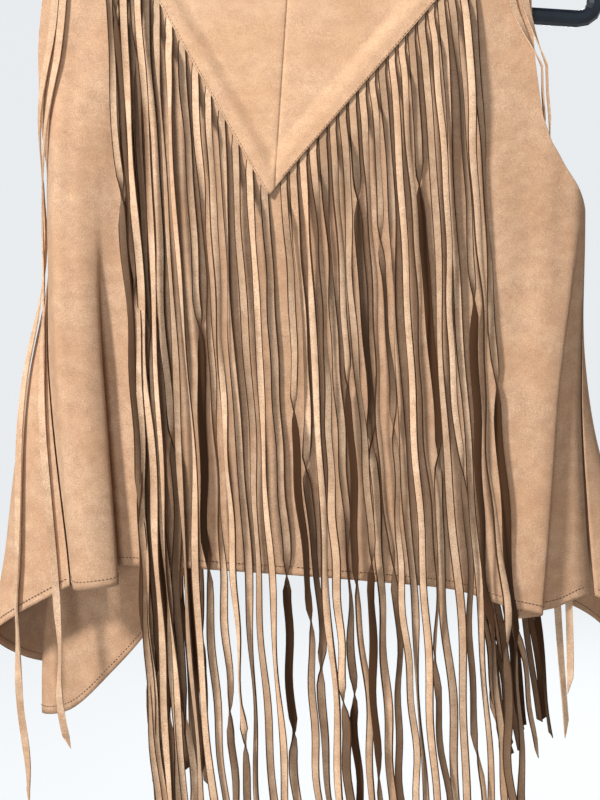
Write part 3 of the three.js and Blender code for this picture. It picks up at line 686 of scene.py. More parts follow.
def blank_material(name: str) -> tuple[bpy.types.Material, Shader]:
    """A new material with no nodes, and the shader that fills it."""
    made = bpy.data.materials.new(name)
    made.use_nodes = True
    made.node_tree.nodes.clear()
    return made, Shader(made.node_tree)


@dataclass(frozen=True)
class NapLayer:
    """One noise of the nap: waves per metre, detail, roughness, and its black and white points."""

    scale: float
    detail: float
    rough: float
    black: float
    white: float

    def value(self, sh: Shader) -> bpy.types.NodeSocket:
        """The noise, stretched between its black and white points."""
        noise = sh.noise(self.scale, self.detail, self.rough)
        return sh.ramp(noise, (self.black, (0, 0, 0)), (self.white, (1, 1, 1)))


@dataclass(frozen=True)
class Nap:
    """Suede nap: brushed patches between two colours, darkened in places by mottling and grain."""

    patches: NapLayer = NapLayer(24, 4, 0.6, 0.36, 0.64)
    mottle: NapLayer = NapLayer(95, 4, 0.55, 0.3, 0.7)
    grain: NapLayer = NapLayer(1350, 4, 0.8, 0.34, 0.66)
    mottle_share: float = 0.3
    grain_share: float = 0.7
    unworn: float = 0.88
    darkening: float = 0.1

    def group(self) -> bpy.types.ShaderNodeTree:
        """Node group with three colours in, and a colour and a height out."""
        tree = bpy.data.node_groups.new("suede_nap", "ShaderNodeTree")
        for name in ("Light", "Deep", "Warm"):
            tree.interface.new_socket(name, in_out="INPUT", socket_type="NodeSocketColor")
        tree.interface.new_socket("Color", in_out="OUTPUT", socket_type="NodeSocketColor")
        tree.interface.new_socket("Height", in_out="OUTPUT", socket_type="NodeSocketFloat")
        sh = Shader(tree)
        colours = sh.node("NodeGroupInput").outputs
        patches, mottle, grain = (layer.value(sh) for layer in (self.patches, self.mottle, self.grain))
        shade = sh.node("ShaderNodeMath", {0: mottle, 1: self.mottle_share}, operation="MULTIPLY")
        height = sh.node("ShaderNodeMath", {0: grain, 1: self.grain_share, 2: shade.outputs[0]},
                         operation="MULTIPLY_ADD").outputs[0]
        darkening = sh.node("ShaderNodeMapRange", {"Value": height, "From Min": self.unworn,
                                              "From Max": self.darkening, "To Max": 1.0})
        base = sh.blend(patches, colours["Light"], colours["Warm"])
        colour = sh.blend(darkening.outputs["Result"], base, colours["Deep"])
        sh.node("NodeGroupOutput", {"Color": colour, "Height": height})
        return tree


@dataclass(frozen=True)
class SuedeFinish:
    """A suede: its lit, deep and warm colours, and how strongly its nap shows."""

    name: str
    light: Colour
    deep: Colour
    warm: Colour
    # colour that the edge attribute darkens toward: the cut edges' own dark brown, and on the strands
    # painted shade as well
    edge: Colour = (0.055, 0.024, 0.010)
    bump: float = 0.35
    nap_high: float = 0.0006
    rough: float = 0.95
    specular: float = 0.1
    sheen: float = 0.1
    sheen_rough: float = 0.5
    sheen_tint: Colour = (1.0, 0.8, 0.6)

    def material(self, nap: bpy.types.ShaderNodeTree) -> bpy.types.Material:
        """Nap colours and height on a rough base with a soft sheen; cut edges go dark, and so does the
        painted shade stored on the strands.
        """
        made, sh = blank_material(self.name)
        colours = {"Light": (*self.light, 1), "Deep": (*self.deep, 1), "Warm": (*self.warm, 1)}
        group = sh.node("ShaderNodeGroup", node_tree=nap)
        for key, colour in colours.items():
            group.inputs[key].default_value = colour
        edge = sh.node("ShaderNodeAttribute", attribute_name="edge").outputs["Fac"]
        bump = sh.node("ShaderNodeBump", {"Height": group.outputs["Height"], "Strength": self.bump,
                                          "Distance": self.nap_high})
        sh.surface({"Base Color": sh.blend(edge, group.outputs["Color"], (*self.edge, 1)),
                    "Normal": bump.outputs["Normal"], "Roughness": self.rough,
                    "Specular IOR Level": self.specular, "Sheen Weight": self.sheen,
                    "Sheen Roughness": self.sheen_rough, "Sheen Tint": (*self.sheen_tint, 1)})
        return made


@dataclass(frozen=True)
class ThreadFinish:
    """Thread of the topstitching."""

    name: str
    colour: Colour
    dark: float = 0.5
    waves: float = 900
    rough: float = 0.7

    def material(self) -> bpy.types.Material:
        """Thread colour that shifts along the rows, on a dull base."""
        made, sh = blank_material(self.name)
        dark = tuple(c * self.dark for c in self.colour)
        colour = sh.ramp(sh.noise(self.waves, 2), (0.3, dark), (0.7, self.colour))
        sh.surface({"Base Color": colour, "Roughness": self.rough})
        return made


@dataclass(frozen=True)
class PlasticFinish:
    """Blue-black moulded plastic of the hanger."""

    colour: Colour = (0.006, 0.009, 0.014)
    pale: float = 1.6
    waves: float = 70
    gloss: tuple[float, float] = (0.26, 0.42)
    specular: float = 0.25

    def material(self) -> bpy.types.Material:
        """Near-black plastic with faint scuffs in its gloss."""
        made, sh = blank_material("hanger_plastic")
        noise = sh.noise(self.waves, 5)
        low, high = self.gloss
        gloss = sh.node("ShaderNodeMapRange", {"Value": noise, "To Min": low, "To Max": high})
        tint = sh.ramp(noise, (0.3, self.colour), (0.8, tuple(c * self.pale for c in self.colour)))
        sh.surface({"Base Color": tint, "Roughness": gloss.outputs["Result"],
                    "Specular IOR Level": self.specular})
        return made


class Finishes:
    """All materials of the vest, made once."""

    def __init__(self) -> None:
        """Builds each material: lit, deep and warm colours in turn."""
        nap = Nap().group()
        self.body = SuedeFinish("body_suede", (0.70, 0.47, 0.31), (0.36, 0.205, 0.12),
                                (0.60, 0.36, 0.215)).material(nap)
        self.yoke = SuedeFinish("yoke_suede", (0.76, 0.51, 0.335), (0.42, 0.245, 0.14),
                                (0.66, 0.40, 0.24)).material(nap)
        # the fringe's light colour is paler than the body's: painted light that brightens the strands' lit
        # faces against their neighbours' shadow
        self.fringe = SuedeFinish("fringe_suede", (0.95, 0.69, 0.48), (0.40, 0.235, 0.135),
                                  (0.74, 0.48, 0.305), bump=0.25).material(nap)
        self.cut = SuedeFinish("cut_edge_suede", (0.10, 0.048, 0.02), (0.05, 0.022, 0.009),
                               (0.085, 0.04, 0.016)).material(nap)
        self.thread = ThreadFinish("hem_thread", (0.085, 0.04, 0.017)).material()
        self.yoke_thread = ThreadFinish("yoke_thread", (0.30, 0.17, 0.09)).material()
        self.plastic = PlasticFinish().material()


# ---------------------------------------------------------------- pieces
HEM_STITCH = 5.8
YOKE_STITCH = 2.0


@dataclass
class Panel:
    """A cut piece of suede between two fold lines, from a top edge to a bottom edge."""

    name: str
    cloths: tuple[Cloth, ...]
    span: tuple[float, float]
    top: str
    bottom: str
    flat: tuple[float, float]
    area: float
    proud: float = 0.0
    tip_proud: float = 0.0
    tip_high: tuple[float, float] = (20, 60)
    lip: tuple[float, float] = (12, 34)
    yoke_crease: float = 0.4
    seam_deep: float = 0.7
    seam_wide: float = 2.2
    stitch_deep: float = 0.35
    roll_high: float = 0.15
    roll_at: float = 3
    columns: int = 90
    rows: int = 130
    wall: float = 1.3
    over_share: float = 0.08
    over_length: float = 11.6

    def relief(self, cloth: Cloth, p: Array, v: Array, low: Array) -> Array:
        """Outward relief: creases, and the hem's stitched groove or a yoke's proud edge.

        Args:
            cloth: the side that the points are on.
            p: fold line numbers.
            v: drops.
            low: drop of the bottom edge on each line.

        Returns:
            Distances outwards, in mm.
        """
        above = low - v
        relief = cloth.creases(p, v) * smooth(above, -2, 30) * smooth(v, -30, 20)
        if not self.proud:
            groove = self.stitch_deep * bell(above, HEM_STITCH, 1.2)
            return relief - groove + self.roll_high * bell(above, self.roll_at, 2)
        start, stop = self.lip
        lift = mix(self.tip_proud or self.proud, self.proud,
                   smooth(low - getattr(cloth, self.top)(p), *self.tip_high))
        relief = relief * smooth(above, start, 60) * self.yoke_crease
        relief += lift * (1 - smooth(above, start, stop))
        return relief - self.seam_deep * bell(cloth.run(p), 0, self.seam_wide)

    def half(self, cloth: Cloth) -> tuple[Array, Array]:
        """Grid of one side: lines across by rows down, close together over the shoulder.

        Args:
            cloth: the side.

        Returns:
            The points and their UVs, both in metres.
        """
        runs = np.linspace(*cloth.run(self.span), self.columns)
        p = cloth.line(runs)[:, None]
        p[0], p[-1] = self.span
        top, low = getattr(cloth, self.top)(p), getattr(cloth, self.bottom)(p)
        t = np.linspace(0, 1, self.rows)[None, :]
        over = np.minimum(self.over_length, (low - top) / 3)
        down = mix(top + over, low, (t - self.over_share) / (1 - self.over_share))
        v = np.where(t < self.over_share, top + over * t / self.over_share, down)
        p, low = np.broadcast_to(p, v.shape), np.broadcast_to(low, v.shape)
        uv = np.stack([cloth.run(p) * cloth.side.value, -v], axis=-1) * MM
        return cloth.skin(p, v, self.relief(cloth, p, v, low)), uv

    def build(self, material: bpy.types.Material, cut: bpy.types.Material) -> bpy.types.Object:
        """Joins the sides at the centre where there are two, and gives the sheet its wall.

        Args:
            material: the suede of both faces.
            cut: the darker suede of the cut rim.

        Returns:
            The piece.
        """
        points, uv = self.half(self.cloths[0])
        if self.cloths[0].side is Side.LEFT:
            points, uv = points[::-1], uv[::-1]
        if len(self.cloths) > 1:
            right, right_uv = self.half(self.cloths[1])
            points, uv = np.concatenate([points, right[1:]]), np.concatenate([uv, right_uv[1:]])
        obj = grid_mesh(self.name, points, uv)
        attribute(obj, "edge", np.zeros(points.shape[:2]))
        obj.data.materials.append(material)
        obj.data.materials.append(cut)
        thicken(obj, self.wall)
        return obj


@dataclass
class StitchRow:
    """A row of topstitching along an edge, as small rounded bars on both faces."""

    name: str
    cloth: Cloth
    span: tuple[float, float]
    edge: str
    inset: float
    out: float
    pitch: float = 2.6
    length: float = 1.7
    width: float = 0.55
    foot: float = 0.5
    crown: float = 1.0
    taper: float = 0.7

    def drop(self, p: Array) -> Array:
        """Drop of the row on line p."""
        return getattr(self.cloth, self.edge)(p) - self.inset

    def build(self, material: bpy.types.Material) -> bpy.types.Object:
        """Places one bar per stitch, in line with the edge: eight corners, tapered outwards.

        Args:
            material: the thread.

        Returns:
            The row, as one piece.
        """
        fine = np.linspace(*self.span, 4000)
        steps = np.diff(self.cloth.middle(fine, self.drop(fine)), axis=0)
        along = np.concatenate([[0], np.cumsum(np.linalg.norm(steps, axis=1))])
        marks = np.arange(self.pitch, along[-1] / MM - self.pitch, self.pitch) * MM
        p = np.interp(marks, along, fine)
        v, after = self.drop(p), p + 0.01
        forward = self.cloth.middle(after, self.drop(after)) - self.cloth.middle(p, v)
        forward /= np.linalg.norm(forward, axis=1, keepdims=True)
        box = np.array([[0, 1, 3, 2], [4, 6, 7, 5], [0, 4, 5, 1], [2, 3, 7, 6], [0, 2, 6, 4],
                        [1, 5, 7, 3]])
        corners, faces = [], []
        for face in (1.0, -1.0):
            base = self.cloth.skin(p, v, self.out + face * self.foot)
            top = self.cloth.skin(p, v, self.out + face * self.crown)
            up = (top - base) / np.linalg.norm(top - base, axis=1, keepdims=True)
            long = forward * self.length * MM / 2
            wide = np.cross(up, forward) * self.width * MM / 2
            order = (len(corners) + np.arange(8)[:, None]) * len(p) + np.arange(len(p))
            corners += [level + (long * a + wide * b) * shrink
                        for level, shrink in ((base, 1.0), (top, self.taper))
                        for a in (-1, 1) for b in (-1, 1)]
            quads = order[box].transpose(2, 0, 1).reshape(-1, 4)
            faces.append(quads[:, ::-1] if face * self.cloth.side.value > 0 else quads)
        obj = mesh_object(self.name, np.concatenate(corners), np.concatenate(faces).tolist())
        fix_normals(obj)
        obj.data.materials.append(material)
        return obj


@dataclass(frozen=True)
class Quirks:
    """Shares between -1 and 1 that make one strand unlike the next."""

    ends: float
    swing: float
    waves: float
    phase: float
    turned: float
    broad: float
    tilt: float
    slow: float
    dark: float
    curl: float
    deep: float
    twist: float

    @classmethod
    def of(cls, number: int, salt: int) -> Quirks:
        """The quirks of a strand: always the same for its number and its fringe's salt."""
        return cls(*(uneven(number, salt + k) for k in range(12)))


def wave(t: Array, phase: float, halves: float) -> Array:
    """Sine along a strand that starts at a phase and runs through so many half turns."""
    return np.sin(phase + halves * math.pi * t)


# Half a strand's section: across, thickness and darkness. The dark band is the bevelled cut edge, carried
# onto the face as painted shadow of the gap beside the strand.
STRAND_SECTION = ((-1, 0.2, 1), (-0.79, 1, 1), (-0.71, 1, 0), (0, 1, 0), (0.71, 1, 0), (0.79, 1, 1),
                  (1, 0.2, 1))


@dataclass
class Fringe:
    """Strands cut on one backing strip, hung along a yoke's edge."""

    name: str
    cloth: Cloth
    face: Face
    lines: tuple[float, float]
    edge: str
    count: int
    layer_step: int
    salt: int
    sway: float
    end: float = -785
    end_spread: float = 14
    drift: float = 0.0
    lift: float = 0.0
    first_layer: int = 0
    wide: float = 5.7
    thick: float = 1.0
    points: int = 60
    strip_out: float = 2.35
    strip_high: float = 7.0
    clear: float = 4.4
    layer_gap: float = 4.2
    reach: float = 18.0
    look_down: float = 30.0
    root_flat: float = 9.0
    root_free: float = 26.0
    # darkness of a strand's far face: partly the reverse side's own darker tone, partly painted shade that
    # makes turned strands look shaded
    far_dark: float = 0.72
    flip_over: float = 0.08

    def samples(self) -> Array:
        """Points of the cloth that may push a strand out."""
        span = (0, SEAM_ROW) if self.face is Face.BACK else (SEAM_ROW, LAST_ROW)
        p, v = np.meshgrid(np.linspace(*span, 60), np.arange(0, 540, 12.0), indexing="ij")
        keep = v <= self.cloth.hem_drop(p)
        return self.cloth.middle(p, v)[keep] / MM

    def depth(self, samples: Array, x: Array, z: Array) -> Array:
        """Outermost depth of the cloth near a strand.

        Args:
            samples: points of the cloth, in mm.
            x: where the strand is across.
            z: its heights; cloth below them doesn't count.

        Returns:
            A depth for each height, in mm.
        """
        near = (np.abs(samples[None, :, 0] - x[:, None]) < self.reach)
        near &= samples[None, :, 2] > z[:, None] - self.reach
        sign = self.face.value
        reached = np.where(near, samples[None, :, 1] * sign, self.cloth.cloth_r)
        return sign * np.maximum(reached.max(axis=1), self.cloth.cloth_r)

    def sideways(self, t: Array, quirks: Quirks) -> Array:
        """Sway: a slow swing, a wander that grows downwards and a quick ripple.

        Args:
            t: shares of the way down the strand.
            quirks: the strand's own.

        Returns:
            Distances across, in mm.
        """
        swing = wave(t, math.pi * quirks.phase, 2.6 + quirks.waves)
        wander = wave(t, 3 * quirks.dark, 4.2 + 2 * quirks.curl)
        quick = wave(t, 9 * quirks.broad, 13 + 5 * quirks.turned)
        sway = self.sway * (0.6 + 0.4 * quirks.swing) * swing
        return sway + (0.9 + 2.6 * t) * quirks.slow * wander + (0.24 + 0.8 * t) * quick

    def turning(self, t: Array, quirks: Quirks) -> Array:
        """Turn about the upright: two waves, and for most strands a stretch far face out.

        Args:
            t: shares of the way down the strand.
            quirks: the strand's own.

        Returns:
            Angles in radians.
        """
        slow = wave(t, 1.7 * math.pi * quirks.phase, 2.5 + 1.5 * quirks.dark)
        quick = wave(t, 8 * quirks.waves, 8 + 3 * quirks.swing)
        turn = 0.6 * quirks.turned + 0.9 * quirks.tilt * slow + 0.6 * quirks.twist * quick
        if quirks.turned > -0.3:
            start = 0.06 + 0.4 * abs(quirks.tilt) + (0.36 if quirks.slow > 0 else 0.0)
            stop = start + 0.22 + 0.15 * abs(quirks.swing)
            turned = smooth(t, start, start + self.flip_over) - smooth(t, stop, stop + self.flip_over)
            turn = turn + math.pi * turned
        return turn

    def centre(self, number: int, samples: Array, quirks: Quirks) -> tuple[Array, Array]:
        """Centre line of a strand: flat at the root, then free, clear of the cloth by its layer.

        Args:
            number: which strand, counted from the strip's start.
            samples: cloth points that it hangs clear of.
            quirks: what makes it unlike the next.

        Returns:
            The points in mm, and how free of the root each one is, from 0 to 1.
        """
        p = mix(self.lines[0], self.lines[1], (number + 0.5) / self.count)
        v = getattr(self.cloth, self.edge)(np.array(p)) - self.strip_high * 0.45
        root = self.cloth.skin(p, v, self.strip_out) / MM
        knee = self.cloth.skin(p, v + self.root_flat, self.strip_out + self.lift) / MM
        length = root[2] - (self.end + self.end_spread * quirks.ends)
        bend = root[2] - knee[2]
        drop = np.concatenate([[0, bend / 2, bend], np.linspace(bend + 8, length, self.points)])
        t, on_root = drop / length, np.minimum(drop / bend, 1)
        free = smooth(drop, bend, (bend + self.root_free) * 2.2)
        x = mix(root[0], knee[0], on_root) + self.drift * t + self.sideways(t, quirks) * free
        z = root[2] - drop
        layer = (number * self.layer_step + self.first_layer) % 3
        hung = self.depth(samples, x, z - self.look_down)
        hung = hung + self.face.value * (self.clear + layer * self.layer_gap)
        padded = np.concatenate([hung[:1].repeat(2), hung, hung[-1:].repeat(2)])
        hung = np.convolve(padded, np.ones(5) / 5, mode="valid")
        hung = hung + 1.2 * quirks.deep * np.sin(5 * t + quirks.phase * 4) * t
        y = np.where(drop <= bend, mix(root[1], knee[1], on_root),
                     mix(knee[1], hung, smooth(drop, bend, bend + self.root_free)))
        return np.stack([x, y, z], axis=-1), free

    def strand(self, number: int, samples: Array) -> tuple[Array, Array]:
        """One ribbon: a thin lens of a section, turned and carried down the centre line.

        Args:
            number: which strand, counted from the strip's start.
            samples: cloth points that it hangs clear of.

        Returns:
            Rings of points in metres, and the darkness of each point.
        """
        quirks = Quirks.of(number, self.salt)
        centre, free = self.centre(number, samples, quirks)
        t = (centre[0, 2] - centre[:, 2]) / (centre[0, 2] - centre[-1, 2])
        turn = self.turning(t, quirks) * free
        flat = np.zeros_like(turn)
        across = np.stack([np.cos(turn), np.sin(turn), flat], axis=-1)[:, None]
        out = np.stack([-np.sin(turn), np.cos(turn), flat], axis=-1)[:, None]
        # the far face is darkened: partly its own tone, partly painted shade
        near, far = (0.0, self.far_dark) if self.face is Face.BACK else (self.far_dark, 0.0)
        half = np.array(STRAND_SECTION)
        section = np.concatenate([half * (1, -1, 1), half[::-1]])
        wide, thick, dark = section.T
        dark = np.maximum(dark, np.where(thick < 0, near, far))
        broad = self.wide * (1 + 0.1 * quirks.broad) * (1 + 0.05 * np.sin(19 * t + quirks.ends * 6))
        curl = 1.3 * quirks.curl * wide ** 2 * free[:, None]
        rings = (centre[:, None] + across * (wide * broad[:, None] / 2)[..., None]
                 + out * (thick * self.thick / 2 + curl)[..., None])
        rings[-1, :, 2] += wide * (2 + 4 * quirks.tilt)
        # painted shade: some whole strands, and slow stretches along each strand, are darkened toward the
        # edge colour so they look shaded
        darkening = max(0.0, 0.4 * quirks.dark) + 0.12 * np.sin(11 * t + quirks.tilt * 5) ** 2
        return rings * MM, np.clip(dark + darkening[:, None], 0, 1)

    def strip(self) -> Array:
        """Rings of the backing strip: four long edges round a thin flat section."""
        p = np.linspace(*self.lines, 60)
        v, half = getattr(self.cloth, self.edge)(p), self.thick / 2
        corners = ((0, -half), (0, half), (self.strip_high, half), (self.strip_high, -half))
        return np.stack([self.cloth.skin(p, v - up, self.strip_out + out) for up, out in corners], axis=1)

    def build(self, material: bpy.types.Material) -> bpy.types.Object:
        """Joins all strands and the strip's closed wall in one piece."""
        samples, tubes = self.samples(), Tubes()
        for number in range(self.count):
            tubes.add(*self.strand(number, samples))
        tubes.add(self.strip(), 0.5)
        obj = tubes.build(self.name)
        obj.data.materials.append(material)
        return obj


@dataclass(frozen=True)
class LooseStrand:
    """A strand by the shoulder's end: rows of drop, line p or run, distance out and turn.

    A clinging strand's rows hold line p; an inward one's hold the cloth run, and its turn is
    measured from the x axis instead of from the cloth.
    """

    rows: tuple[tuple[float, float, float, float], ...]
    end: float
    inward: bool = False
    drift: float = 0.0


def clinging(start: float, stop: float, leaves: float, end: float) -> LooseStrand:
    """Strand that lies on the cloth from the strip, crosses from one line to another, then hangs."""
    drops = [-31, -22, -10, *np.linspace(0, leaves, 40)]
    return LooseStrand(tuple((v, float(mix(start, stop, smooth(v, 20, 330))),
                              float(mix(2.35, 4, smooth(v, -31, 0))), 0.0) for v in drops), end)


LEFT_LOOSE = (clinging(5.95, 7.35, 440, -705), clinging(6.12, 8.1, 450, -745))
RIGHT_LOOSE = (
    LooseStrand(((-31, 153, 2.35, 0), (-22, 154, 2.6, 0), (0, 160, 3.4, 10), (20, 170, 5, 50),
                 (38, 182, 2.2, 85), (56, 184.8, -3, 90), (74, 188.8, -9, 90), (92, 191, -18.5, 60)),
                -722, True, -8),
    LooseStrand(((-31, 163, 2.35, 0), (-22, 164, 3.2, 0), (0, 168.5, 4.6, 20), (20, 175.6, 6.6, 60),
                 (38, 184.8, 4.4, 88), (56, 187.6, -0.5, 90), (74, 191.8, -5.5, 90), (92, 194.6, -13, 60)),
                -690, True, -8),
)
SQUARE = np.array([(-1, -1), (1, -1), (1, 1), (-1, 1)])


@dataclass
class SideFringe:
    """Short strip by the shoulder's end with the loose strands that fall past the armhole."""

    name: str
    cloth: Cloth
    strands: tuple[LooseStrand, ...]
    wide: float = 5.0
    thick: float = 1.0
    hanging: int = 26
    path_points: int = 34
    strip_runs: tuple[float, float] = (150, 166)
    strip_drops: tuple[float, float] = (-27, -34)
    strip_out: float = 2.35
    sway: float = 2.6
    twist: float = 0.7
    slant: float = 6.0
    # side strands and their strip are darkened evenly toward the edge colour
    darkening: float = 0.12

    def path(self, strand: LooseStrand) -> tuple[Array, Array, Array]:
        """Path of a strand by the cloth.

        Args:
            strand: its rows.

        Returns:
            The points in mm, the ribbon's level direction, and its turn in radians.
        """
        rows = np.array(strand.rows)
        if strand.inward:
            fine = np.linspace(0, 1, self.path_points)
            knots = np.linspace(0, 1, len(rows))
            rows = np.stack([np.interp(fine, knots, column) for column in rows.T], axis=1)
            rows[:, 1] = self.cloth.line(rows[:, 1])
        v, p, out, turn = rows.T
        if strand.inward:
            across = np.tile([1.0, 0.0, 0.0], (len(p), 1))
        else:
            across = self.cloth.skin(p + 0.05, v) - self.cloth.skin(p - 0.05, v)
            across[:, 2] = 0
            across /= np.linalg.norm(across, axis=1, keepdims=True)
        return self.cloth.skin(p, v, out) / MM, across, np.radians(turn)

    def rings(self, strand: LooseStrand, number: int) -> Array:
        """Path by the cloth, then plumb with a small sway, carrying a flat section.

        Args:
            strand: its rows and its end.
            number: which strand, for its sway.

        Returns:
            Rings of four points, in metres.
        """
        path, across, turn = self.path(strand)
        lower = np.linspace(0, 1, self.hanging)[1:]
        x = path[-1, 0] + (self.sway * np.sin(lower * 7 + number * 2) + strand.drift) * lower
        below = np.stack([x, np.full(len(lower), path[-1, 1]), mix(path[-1, 2], strand.end, lower)],
                         axis=-1)
        centre = np.concatenate([path, below])
        across = np.concatenate([across, np.repeat(across[-1:], len(lower), axis=0)])
        starts = len(path) if strand.inward else 3
        settle = smooth(np.arange(len(centre)), starts, len(path) + 8)
        swing = self.twist * np.sin(np.linspace(0, 14 + 3 * number, len(centre))) * settle
        turn = np.concatenate([turn, turn[-1] * (1 - smooth(lower, 0, 0.5))]) + swing
        cos, sin = np.cos(turn)[:, None], np.sin(turn)[:, None]
        normal = np.stack([-across[:, 1], across[:, 0], np.zeros(len(across))], axis=-1)
        wide = (across * cos + normal * sin) * self.wide / 2
        thick = (normal * cos - across * sin) * self.thick / 2
        rings = centre[:, None] + wide[:, None] * SQUARE[:, :1] + thick[:, None] * SQUARE[:, 1:]
        rings[-1, :, 2] += SQUARE[:, 0] * self.slant
        return rings * MM

    def strip(self) -> Array:
        """Rings of the backing strip."""
        p, half = self.cloth.line(np.linspace(*self.strip_runs, 12)), self.thick / 2
        (low, high), out = self.strip_drops, self.strip_out
        corners = ((low, out - half), (low, out + half), (high, out + half), (high, out - half))
        return np.stack([self.cloth.skin(p, v, level) for v, level in corners], axis=1)

    def build(self, material: bpy.types.Material) -> bpy.types.Object:
        """Joins the strands and the strip."""
        tubes = Tubes()
        for number, strand in enumerate(self.strands):
            tubes.add(self.rings(strand, number), self.darkening)
        tubes.add(self.strip(), self.darkening)
        obj = tubes.build(self.name, rounded=False)
        obj.data.materials.append(material)
        return obj


# ---------------------------------------------------------------- the vest
@dataclass
class Vest:
    """The whole garment: panels, yokes, stitching and fringe. Shares are of a fold line."""

    finishes: Finishes
    seam_share: float = 0.05
    hem_stop: float = 0.1
    halving_steps: int = 40
    centre_run: float = 0.02
    fringe_start: float = 0.04
    fringe_stop: float = 0.16
    front_fringe_from: float = 0.38
    front_fringe_stop: float = 0.15
    front_end: float = -755
    front_lift: float = 1.4

    def take(self, obj: bpy.types.Object, node: str | None = None) -> bpy.types.Object:
        """Rides a piece on the one body and hides the node it stands for.

        Args:
            obj: the piece.
            node: the node that it stands for, where it does.

        Returns:
            The same piece.
        """
        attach(obj, "root")
        if node:
            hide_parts(node)
        LOG.info("%s: %d faces", obj.name, len(obj.data.polygons))
        return obj

    def hang(self, panel: Panel, node: str, *rows: StitchRow) -> None:
        """Takes a panel and its rows of stitches."""
        finishes = self.finishes
        suede = finishes.yoke if panel.proud else finishes.body
        piece = self.take(panel.build(suede, finishes.cut), node)
        stitched = [self.take(row.build(finishes.yoke_thread if row.out else finishes.thread))
                    for row in rows]

    def build(self) -> None:
        """Builds every piece in order, back first."""
        cloths = tuple(Cloth(side) for side in Side)
        back = Panel("suede_back", cloths, (0.0, SEAM_ROW - self.seam_share), "back_top", "hem_drop",
                     (0.47, 0.50), 0.170)
        self.hang(back, "back_panel", *(
            StitchRow(f"stitch_hem_back_{cloth.side.word}", cloth, (0.0, SEAM_ROW - self.hem_stop),
                      "hem_drop", HEM_STITCH, 0.0) for cloth in cloths))
        for cloth in cloths:
            self.back_yoke(cloth)
            self.front(cloth)
            self.fringes(cloth)

    def back_yoke(self, cloth: Cloth) -> None:
        """Builds one half of the back yoke."""
        word, end = cloth.side.word, self.yoke_end(cloth)
        span = (float(cloth.line(self.centre_run)), float(cloth.line(cloth.run(end) - 1)))
        yoke = Panel(f"suede_back_yoke_{word}", (cloth,), span, "yoke_top", "back_yoke_edge",
                     (0.14, 0.24), 0.016, proud=4.1, columns=70, rows=90)
        self.hang(yoke, f"back_yoke_{word}", StitchRow(
            f"stitch_yoke_{word}", cloth, (0.06, end - 0.1), "back_yoke_edge", YOKE_STITCH, yoke.proud))

    def front(self, cloth: Cloth) -> None:
        """Builds one front and its yoke."""
        word = cloth.side.word
        front = Panel(f"suede_front_{word}", (cloth,), (SEAM_ROW + self.seam_share, float(LAST_ROW)),
                      "front_top", "hem_drop", (0.30, 0.59), 0.089 if cloth.side is Side.LEFT else 0.070,
                      columns=120)
        self.hang(front, f"front_{word}", StitchRow(
            f"stitch_hem_front_{word}", cloth, (SEAM_ROW + self.hem_stop, LAST_ROW - self.seam_share),
            "hem_drop", HEM_STITCH, 0.0))
        start = self.crossing(cloth, cloth.front_yoke_edge, LAST_ROW, self.arm_line(cloth))
        yoke = Panel(f"suede_front_yoke_{word}", (cloth,), (start + 0.05, float(LAST_ROW)),
                     "shoulder_top", "front_yoke_edge", (0.09, 0.16), 0.008, proud=5.5, tip_proud=2.0,
                     columns=40, rows=70)
        self.hang(yoke, f"front_yoke_{word}")

    def fringes(self, cloth: Cloth) -> None:
        """Builds one side's fringe at the back, the front and the shoulder's end."""
        word, left, arm = cloth.side.word, cloth.side is Side.LEFT, self.arm_line(cloth)
        lines = (self.fringe_start, self.yoke_end(cloth) - self.fringe_stop)
        back = Fringe(f"strands_back_{word}", cloth, Face.BACK, lines, "back_yoke_edge", 20,
                      2 if left else 1, 11 if left else 31, 1.6 if left else 1.2,
                      first_layer=0 if left else 2)
        lines = (mix(arm, LAST_ROW, self.front_fringe_from), LAST_ROW - self.front_fringe_stop)
        front = Fringe(f"strands_front_{word}", cloth, Face.FRONT, lines, "front_yoke_edge", 12, 2,
                       51 if left else 71, 1.3, end=self.front_end, drift=-9 if left else 44,
                       lift=self.front_lift)
        side = SideFringe(f"strands_side_{word}", cloth, LEFT_LOOSE if left else RIGHT_LOOSE)
        for place, fringe in (("back", back), ("front", front), ("side", side)):
            self.take(fringe.build(self.finishes.fringe), f"fringe_{place}_{word}")

    def yoke_end(self, cloth: Cloth) -> float:
        """Line where the back yoke's edge meets the arm."""
        return self.crossing(cloth, cloth.back_yoke_edge, 0, SEAM_ROW)

    def arm_line(self, cloth: Cloth) -> float:
        """Line where the front's armhole meets the shoulder."""
        return float(cloth.line(cloth.seam_run + cloth.front_arm))

    def crossing(self, cloth: Cloth, edge: Callable[[Array], Array], inside: float,
                 outside: float) -> float:
        """Line where a yoke's edge meets the arm's centre line, found by halving.

        Args:
            cloth: the side.
            edge: the drop of the yoke's edge on a line.
            inside: a line where the edge is below the arm.
            outside: a line where it is above.

        Returns:
            The line's number.
        """
        for _ in range(self.halving_steps):
            middle = (inside + outside) / 2
            if edge(np.array(middle)) > cloth.hanger.arm_drop(cloth.across(np.array(middle))):
                inside = middle
            else:
                outside = middle
        return float((inside + outside) / 2)


# ---------------------------------------------------------------- stage
@dataclass(frozen=True)
class Lamp:
    """A soft area light: its place, size, watts and colour."""

    name: str
    at: tuple[float, float, float]
    size: float
    power: float
    colour: Colour

    def build(self, aim: Vector) -> None:
        """Makes the light and turns it to a point."""
        data = bpy.data.lights.new(self.name, "AREA")
        data.shape, data.size, data.energy, data.color = "DISK", self.size, self.power, self.colour
        obj = bpy.data.objects.new(self.name, data)
        obj.location = self.at
        obj.rotation_euler = (aim - Vector(self.at)).to_track_quat("-Z", "Y").to_euler()
        bpy.context.collection.objects.link(obj)


LAMPS = (
    Lamp("key", (-1.35, -1.65, 1.1), 0.4, 89, (0.98, 0.98, 0.97)),
    Lamp("fill", (-0.3, -2.1, -0.8), 0.8, 20, (0.92, 0.96, 1.0)),
    Lamp("back", (0.9, 2.2, 0.8), 1.2, 70, (1.0, 0.98, 0.95)),
)


